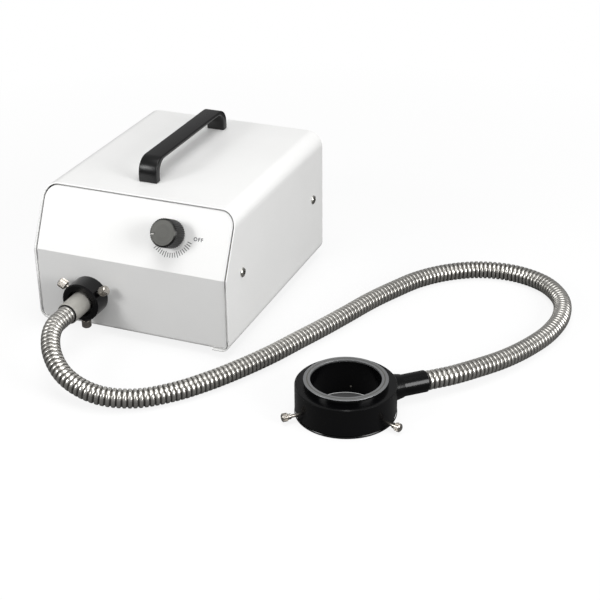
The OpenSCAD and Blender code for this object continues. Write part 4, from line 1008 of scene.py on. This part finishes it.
@dataclass
class Dial:
    """The scale and the word printed on the panel round the knob."""

    crease: Point = (-0.088, -0.072, 0.0739)
    lean: float = math.atan2(27, 53.5)
    across: float = 0.036
    up_slope: float = 0.032
    inset: float = 0.001
    tick_from: float = -136.0
    tick_to: float = -16.0
    ticks: int = 18
    tick_in: float = 0.0158
    tick_len: float = 0.0040
    tick_w: float = 0.00062
    ink: float = 0.00006
    bold: float = 0.00012
    spacing: float = 1.25

    def place(self) -> Matrix:
        """Gives the matrix whose Z leaves the sloped panel at the knob's centre.

        Returns:
            The matrix.
        """
        normal = Vector((0, -math.cos(self.lean), math.sin(self.lean)))
        along = Vector((0, math.sin(self.lean), math.cos(self.lean)))
        centre = Vector(self.crease) + Vector((self.across, 0, 0))
        centre += self.up_slope * along - self.inset * normal
        side = along.cross(normal)
        turn = Matrix((side, along, normal)).transposed().to_4x4()
        return Matrix.Translation(centre) @ turn

    def tick_tree(self) -> Tree:
        """Builds the tree that lays ticks on an arc, each fifth one longer.

        Returns:
            The tree.
        """
        tree = Tree("dial_ticks", {
            "Ticks": self.ticks, "Start": math.radians(self.tick_from), "End": math.radians(self.tick_to),
            "Inner radius": self.tick_in, "Length": self.tick_len, "Width": self.tick_w, "Ink": self.ink})
        points = tree.add("GeometryNodeMeshLine", {"Count": tree["Ticks"]})
        index = tree.add("GeometryNodeInputIndex")
        last = tree.math("SUBTRACT", tree["Ticks"], 1.0)
        share = tree.math("DIVIDE", index, last)
        span = tree.math("SUBTRACT", tree["End"], tree["Start"])
        angle = tree.math("ADD", tree["Start"], tree.math("MULTIPLY", share, span))
        radius = tree.math("ADD", tree["Inner radius"], tree.math("MULTIPLY", tree["Length"], 0.5))
        spot = tree.add("ShaderNodeCombineXYZ", {
            "X": tree.math("MULTIPLY", radius, tree.math("COSINE", angle)),
            "Y": tree.math("MULTIPLY", radius, tree.math("SINE", angle))})
        spots = tree.add("GeometryNodeSetPosition", {"Geometry": points, "Position": spot})
        size = tree.add("ShaderNodeCombineXYZ", {
            "X": tree["Length"], "Y": tree["Width"],
            "Z": tree.math("MULTIPLY", tree["Ink"], 2.0)})
        bar = tree.add("GeometryNodeMeshCube", {"Size": size})
        turn = tree.add("ShaderNodeCombineXYZ", {"Z": angle})
        long_one = tree.math("LESS_THAN", tree.math("MODULO", index, 5.0), 0.5)
        stretch = tree.add("ShaderNodeCombineXYZ", {
            "X": tree.math("ADD", tree.math("MULTIPLY", long_one, 0.35), 1.0), "Y": 1.0, "Z": 1.0})
        laid = tree.add("GeometryNodeInstanceOnPoints", {
            "Points": spots, "Instance": bar,
            "Rotation": turn, "Scale": stretch})
        tree.close(laid)
        return tree

    def word(self, text: str, height: float, spot: Point) -> Mesh:
        """Makes a flat printed word on the panel.

        Args:
            text: A generic word.
            height: Capital height in metres.
            spot: Centre of the word in the dial's own space.

        Returns:
            The mesh, in place.
        """
        letters = bpy.data.curves.new("word", "FONT")
        letters.body = text
        letters.size = height / 0.7
        letters.align_x = "CENTER"
        letters.align_y = "CENTER"
        letters.extrude = self.ink
        letters.offset = self.bold
        letters.space_character = self.spacing
        mesh = curve_mesh(letters)
        mesh.transform(self.place() @ Matrix.Translation(spot))
        return mesh

    def build(self) -> None:
        """Prints the scale and its word on the panel."""
        ink = PAINTS.take(Finish("screen_ink_grey", "#58585a", Surface.SPRAYED, 0.55, grain_mm=0.3,
                                 relief_mm=0.002))
        ticks = self.tick_tree().run("dial_ticks", bpy.data.meshes.new("start"), ink)
        ticks.data.transform(self.place())
        settle(ticks, "knob_plastic")
        word = self.word("OFF", 0.0030, (0.0245, -0.0012, 0.0))
        settle(show("dial_word", word, ink), "knob_plastic")


# ---- case and ring


@dataclass
class Case:
    """The sheet-metal case, its rear fittings and the parts bolted through it."""

    folded: dict[str, float] = field(default_factory=lambda: {"cover": 0.45, "chassis": 0.45})
    crisp: dict[str, float] = field(default_factory=lambda: {
        "rear_panel": 0.25, "feet": 0.4, "mains_inlet": 0.3, "fuse_drawer": 0.2, "fan_frame": 0.35,
        "dimmer_nut": 0.2})
    fold_deg: float = 20.0

    def build(self) -> None:
        """Copies each outer node with rounded edges, the folded sheets with crisp folds."""
        for node, edge in self.folded.items():
            CrispCopy(node, edge, sharp_deg=self.fold_deg).build()
        for node, edge in self.crisp.items():
            CrispCopy(node, edge).build()


@dataclass
class Handle:
    """The bent carrying handle, with its large outer corners and rounded edges.

    Its lengths are along the case, and its foot is the case's top.
    """

    foot: Point = (-0.0928, -0.0190, 0.1274)
    length: float = 0.1450
    width: float = 0.0175
    height: float = 0.021
    corner: float = 0.0140
    bar: float = 0.0035
    leg: float = 0.0075
    edge: float = 0.0012
    steps: int = 12

    def bend(self, radius: float, out: float, top: float) -> Outline:
        """Draws a quarter bend, from a leg's side up to the bar."""
        turns = [math.radians(180 - 90 * step / self.steps) for step in range(self.steps + 1)]
        return [(out + radius * (1 + math.cos(t)), top + radius * (math.sin(t) - 1)) for t in turns]

    def side(self) -> Outline:
        """Draws the handle from the side, once round.

        Returns:
            Points along the case and up, in metres.
        """
        outer = [(0.0, 0.0), *self.bend(self.corner, 0.0, self.height)]
        inner = [(self.leg, 0.0), *self.bend(self.corner - self.bar, self.leg, self.height - self.bar)]
        far = [(self.length - y, z) for y, z in reversed(outer)]
        under = [(self.length - y, z) for y, z in inner]
        return outer + far + under + inner[::-1]

    def build(self) -> None:
        """Extrudes the side view across the handle and rounds its edges."""
        build = bmesh.new()
        half = self.width / 2
        face = build.faces.new([build.verts.new((-half, y, z)) for y, z in self.side()])
        grown = bmesh.ops.extrude_face_region(build, geom=[face])
        moved = [item for item in grown["geom"] if isinstance(item, bmesh.types.BMVert)]
        bmesh.ops.translate(build, vec=(self.width, 0, 0), verts=moved)
        bmesh.ops.translate(build, vec=self.foot, verts=build.verts)
        bmesh.ops.recalc_face_normals(build, faces=build.faces)
        piece = show("handle_bent", mesh_of(build, "handle"), PAINTS.of_slot("handle_black"))
        rounded(piece, self.edge, 4, 40, flat=False)
        smoothed(piece.data, 35)
        settle(piece, "handle_black", "handle")


@dataclass
class Nosepiece:
    """The turned black socket in front, with its wide mouth round the ferrule."""

    place: Matrix
    profile_mm: Outline = field(default_factory=lambda: [
        (9.42, 13.0), (12.0, 13.0), (12.0, 16.6), (12.4, 17.0), (16.2, 17.0), (17.4, 15.8), (17.4, -1.0),
        (13.0, -1.0), (13.0, -14.0), (7.5, -14.0), (7.5, -9.0), (9.42, -9.0)])

    def build(self) -> None:
        """Turns the socket round the light's axis."""
        mesh = smoothed(lathe(self.profile_mm, 96, self.place, MM), 30)
        painted("nosepiece_turned", mesh, "black_anodised", "nosepiece")


@dataclass
class CoverScrews:
    """The four cross-recessed pan-head screws in the cover's sides."""

    case: Point
    half_w: float = 0.092
    head_r: float = 0.0043
    head_h: float = 0.00186
    shank_r: float = 0.00148
    shank_len: float = 0.005
    height: float = 0.0684
    depths: tuple[float, float] = (0.032, 0.195)
    cross_deg: float = 25.0

    def one(self, place: Matrix) -> Mesh:
        """Turns one screw and cuts its cross recess.

        Args:
            place: Where it goes, its Z outwards.

        Returns:
            The mesh, in place.
        """
        r, h = self.head_r, self.head_h
        mesh = lathe([(0, h), (r * 0.5, h), (r * 0.82, h * 0.78), (r * 0.97, h * 0.4), (r, 0),
                      (self.shank_r, 0), (self.shank_r, -self.shank_len), (0, -self.shank_len)],
                     40, Matrix.Identity(4))
        screw = show("screw", mesh, PAINTS.of_slot("zinc_screw"))
        cutters = []
        for turn in (0, 90):
            spin = Matrix.Rotation(math.radians(turn + self.cross_deg), 4, "Z")
            lift = Matrix.Translation((0, 0, h * 0.95))
            cutters.append(show("cutter", box_mesh("cutter", (r * 1.05, r * 0.26, h), lift @ spin)))
            cut = screw.modifiers.new("cross", "BOOLEAN")
            cut.object = cutters[-1]
            cut.solver = "EXACT"
        baked(screw)
        for cutter in cutters:
            bpy.data.objects.remove(cutter)
        screw.data.transform(place)
        mesh = screw.data.copy()
        bpy.data.objects.remove(screw)
        return mesh

    def build(self) -> None:
        """Joins the four screws into one piece."""
        whole = bmesh.new()
        for side in (-1, 1):
            for depth in self.depths:
                spot = Vector(self.case) + Vector((side * self.half_w, depth, self.height))
                whole.from_mesh(self.one(axis_place(tuple(spot), (side, 0, 0))))
        mesh = smoothed(mesh_of(whole, "cover_screws"), 30)
        painted("cover_screws_crossed", mesh, "zinc_screw", "cover_screws")


@dataclass
class RingHead:
    """The ring light's black body, whose light face is ground back to bare metal."""

    top: float = 0.0305
    bore: float = 0.0285
    band: float = 0.0017
    skin: float = 0.00008
    ground: float = 0.00035
    foot_mm: Outline = field(default_factory=lambda: [(40.6, 0.3), (41.0, 0.3), (41.0, 1.3), (40.6, 1.9)])

    def bare(self) -> Material:
        """Gives the ground face: bare aluminium with fine turning rings."""
        return PAINTS.take(Finish("aluminium_ground_face", "#8d8e8f", Surface.TURNED, 0.42, 0.7,
                                  grain_mm=0.25, relief_mm=0.004, centre=(*RING_CENTRE[:2], self.top)))

    def build(self) -> None:
        """Copies the ring's nodes, bares their top faces, and adds the mouth's edge and the foot's step."""
        edges = (("ring_body", 0.5, 16.0), ("ring_sleeve", 0.2, 32.0), ("arm_tube", 0.4, 32.0))
        for node, edge, crease in edges:
            piece = CrispCopy(node, edge, sharp_deg=crease).build()
            piece.data.materials.append(self.bare())
            for face in piece.data.polygons:
                if face.center.z > self.top - self.ground and face.normal.z > 0.5:
                    face.material_index = 1
        r, top = self.bore, self.top
        place = Matrix.Translation(RING_CENTRE)
        mouth = smoothed(lathe([(r, top - self.band), (r, top), (r - self.skin, top - self.skin),
                                (r - self.skin, top - self.band)], 128, place))
        settle(show("ring_mouth_ground", mouth, self.bare()), "satin_aluminium")
        painted("ring_foot_step", smoothed(lathe(self.foot_mm, 160, place, MM), 30), "black_anodised")


@dataclass
class Knob:
    """The dimmer knob: ribbed plastic skirt, spun disc and a painted index."""

    dial: Dial
    height: float = 0.0186
    radius: float = 0.0123
    index_deg: float = 13.0
    index_size: Point = (0.0028, 0.0010, 0.00025)
    index_edge: float = 0.00008
    index_in: float = 0.0024
    index_down: float = 0.00075

    def build(self) -> None:
        """Dresses the knob, turns the disc to the photograph's setting and paints the index."""
        CrispCopy("knob", 0.12, 1).build()
        place = self.dial.place()
        turned = place @ Matrix.Rotation(math.radians(self.index_deg), 4, "Z")
        disc = CrispCopy("knob_disc").build()
        disc.data.transform(turned @ place.inverted())
        spun = Finish("aluminium_spun_knob", "#40403e", Surface.TURNED, 0.34, 1.0, grain_mm=0.26,
                      relief_mm=0.018, tone=0.30, centre=tuple(place.translation),
                      axis=tuple(place.to_3x3() @ UP))
        dress(disc, PAINTS.take(spun))
        white = PAINTS.take(Finish("index_paint_white", "#F2F2EE", Surface.SPRAYED, 0.5, grain_mm=0.3))
        spot = Matrix.Translation((self.index_in - self.radius, 0, self.height - self.index_down))
        mark = box_mesh("index", self.index_size, turned @ spot, self.index_edge)
        settle(show("knob_index", mark, white), "white_enamel", body=Body.KNOB.value)


# ---- studio


@dataclass
class Studio:
    """Camera, lamps and a plain pale floor, with a painted shadow inside the ring's bore."""

    eye: Point = (0.44296, -0.98731, 0.59059)
    right: Point = (0.92766, 0.37331, -0.00938)
    upward: Point = (-0.16627, 0.43541, 0.88474)
    forward: Point = (-0.33437, 0.81918, -0.46598)
    lens: float = 82.75
    near_white: float = 0.84
    room: float = 0.36
    # Radius of the painted shadow drawn on the floor inside the ring's bore.
    painted_shadow_radius: float = 0.0284
    fade: tuple[float, float] = (0.30, 0.75)

    def camera(self) -> None:
        """Sets the camera at the photograph's place and angle."""
        data = bpy.data.cameras.new("camera")
        data.lens = self.lens
        data.sensor_width = 36.0
        data.clip_start = 0.05
        camera = bpy.data.objects.new("camera", data)
        bpy.context.scene.collection.objects.link(camera)
        turn = Matrix((self.right, self.upward, tuple(-c for c in self.forward))).transposed().to_4x4()
        camera.matrix_world = Matrix.Translation(self.eye) @ turn
        bpy.context.scene.camera = camera

    def lamp(self, name: str, spot: Point, aim: Point, watts: float, size: float) -> None:
        """Hangs one square soft lamp.

        Args:
            name: The lamp's name.
            spot: Where it hangs.
            aim: The point it faces.
            watts: Its power.
            size: Its side in metres.
        """
        data = bpy.data.lights.new(name, "AREA")
        data.energy = watts
        data.size = size
        lamp = bpy.data.objects.new(name, data)
        bpy.context.scene.collection.objects.link(lamp)
        direction = Vector(aim) - Vector(spot)
        turn = direction.to_track_quat("-Z", "Y").to_matrix().to_4x4()
        lamp.matrix_world = Matrix.Translation(spot) @ turn

    def sky(self) -> None:
        """Lights the room from all round, and shows white behind everything."""
        world = bpy.data.worlds.new("studio")
        bpy.context.scene.world = world
        tree = open_nodes(world)
        rays = add_node(tree, "ShaderNodeLightPath")
        light = add_node(tree, "ShaderNodeBackground", {"Color": WHITE, "Strength": self.room})
        white = add_node(tree, "ShaderNodeBackground", {"Color": WHITE, "Strength": 1.0})
        seen = add_node(tree, "ShaderNodeMath", {
            0: rays.outputs["Is Camera Ray"], 1: rays.outputs["Is Transmission Ray"]}, operation="MAXIMUM")
        mixed = add_node(tree, "ShaderNodeMixShader", {0: seen, 1: light, 2: white})
        add_node(tree, "ShaderNodeOutputWorld", {"Surface": mixed})

    def floor(self) -> None:
        """Lays the pale floor, drawn white to the camera but for the object's soft shadow.

        The shadow fades out from near to far, and the floor throws less light up than it shows. Inside
        the ring's bore the floor is drawn dark grey as a painted shadow, as the photograph has it.
        """
        build = bmesh.new()
        bmesh.ops.create_grid(build, x_segments=1, y_segments=1, size=6.0)
        bmesh.ops.translate(build, vec=(0, 0, -0.0002), verts=build.verts)
        paint = bpy.data.materials.new("paper_white")
        tree = open_nodes(paint)
        seen = add_node(tree, "ShaderNodeLightPath").outputs["Is Camera Ray"]
        place = add_node(tree, "ShaderNodeTexCoord").outputs["Object"]
        away = add_node(tree, "ShaderNodeVectorMath", {0: place}, operation="LENGTH").outputs["Value"]
        white_share = add_node(tree, "ShaderNodeMapRange", {
            "Value": away, "From Min": self.fade[0], "From Max": self.fade[1],
            "To Min": self.near_white, "To Max": 1.0})
        # Painted shadow: inside the ring's bore the floor shows dark grey to the camera and gets no white.
        from_ring = add_node(tree, "ShaderNodeVectorMath", {
            0: place, 1: RING_CENTRE}, operation="DISTANCE").outputs["Value"]
        outside_painted_shadow = add_node(tree, "ShaderNodeMath", {
            0: from_ring, 1: self.painted_shadow_radius}, operation="GREATER_THAN")
        paper_with_painted_shadow = add_node(tree, "ShaderNodeMix", {
            "Factor": outside_painted_shadow, "A": (0.12, 0.12, 0.12, 1), "B": (0.92, 0.92, 0.92, 1)},
            data_type="RGBA")
        tone = add_node(tree, "ShaderNodeMix", {
            "Factor": seen, "A": (0.16, 0.16, 0.16, 1), "B": paper_with_painted_shadow.outputs["Result"]}, data_type="RGBA")
        paper = add_node(tree, "ShaderNodeBsdfDiffuse", {"Color": tone.outputs["Result"]})
        white = add_node(tree, "ShaderNodeEmission", {"Color": WHITE, "Strength": 1.0})
        shown = add_node(tree, "ShaderNodeMath", {0: seen, 1: outside_painted_shadow}, operation="MULTIPLY")
        share = add_node(tree, "ShaderNodeMath", {0: shown, 1: white_share}, operation="MULTIPLY")
        mixed = add_node(tree, "ShaderNodeMixShader", {0: share, 1: paper, 2: white})
        add_node(tree, "ShaderNodeOutputMaterial", {"Surface": mixed})
        show("floor", mesh_of(build, "floor"), paint)

    def build(self) -> None:
        """Sets the whole studio but the camera, which comes first."""
        self.sky()
        self.floor()
        self.lamp("key", (-0.83, -1.10, 0.77), (0.0, -0.05, 0.08), 6.9, 0.42)
        self.lamp("top", (0.10, -0.15, 1.65), (0.0, 0.0, 0.0), 11.2, 1.0)
        self.lamp("right", (1.35, -0.45, 0.58), (0.0, 0.0, 0.05), 14.6, 0.7)
        self.lamp("edges", (0.39, -0.76, 1.36), (0.12, -0.11, 0.03), 1.3, 0.3)
        bpy.context.scene.view_settings.view_transform = "Standard"


def main() -> None:
    """Builds the camera and cord first, then every other assembly."""
    logging.basicConfig(level=logging.INFO, format="%(message)s")
    studio = Studio()
    studio.camera()
    guide = LightGuide()
    guide.build()
    for name, obj in frame["nodes"].items():
        dress(obj, PAINTS.of_node(name))
    dial = Dial()
    for assembly in (Case(), Handle(), CoverScrews(guide.case), Nosepiece(guide.socket_place()), RingHead(),
                     Thumbscrews(guide), dial, Knob(dial), studio):
        LOG.info("building %s", type(assembly).__name__)
        assembly.build()


if __name__ == "__main__":
    main()
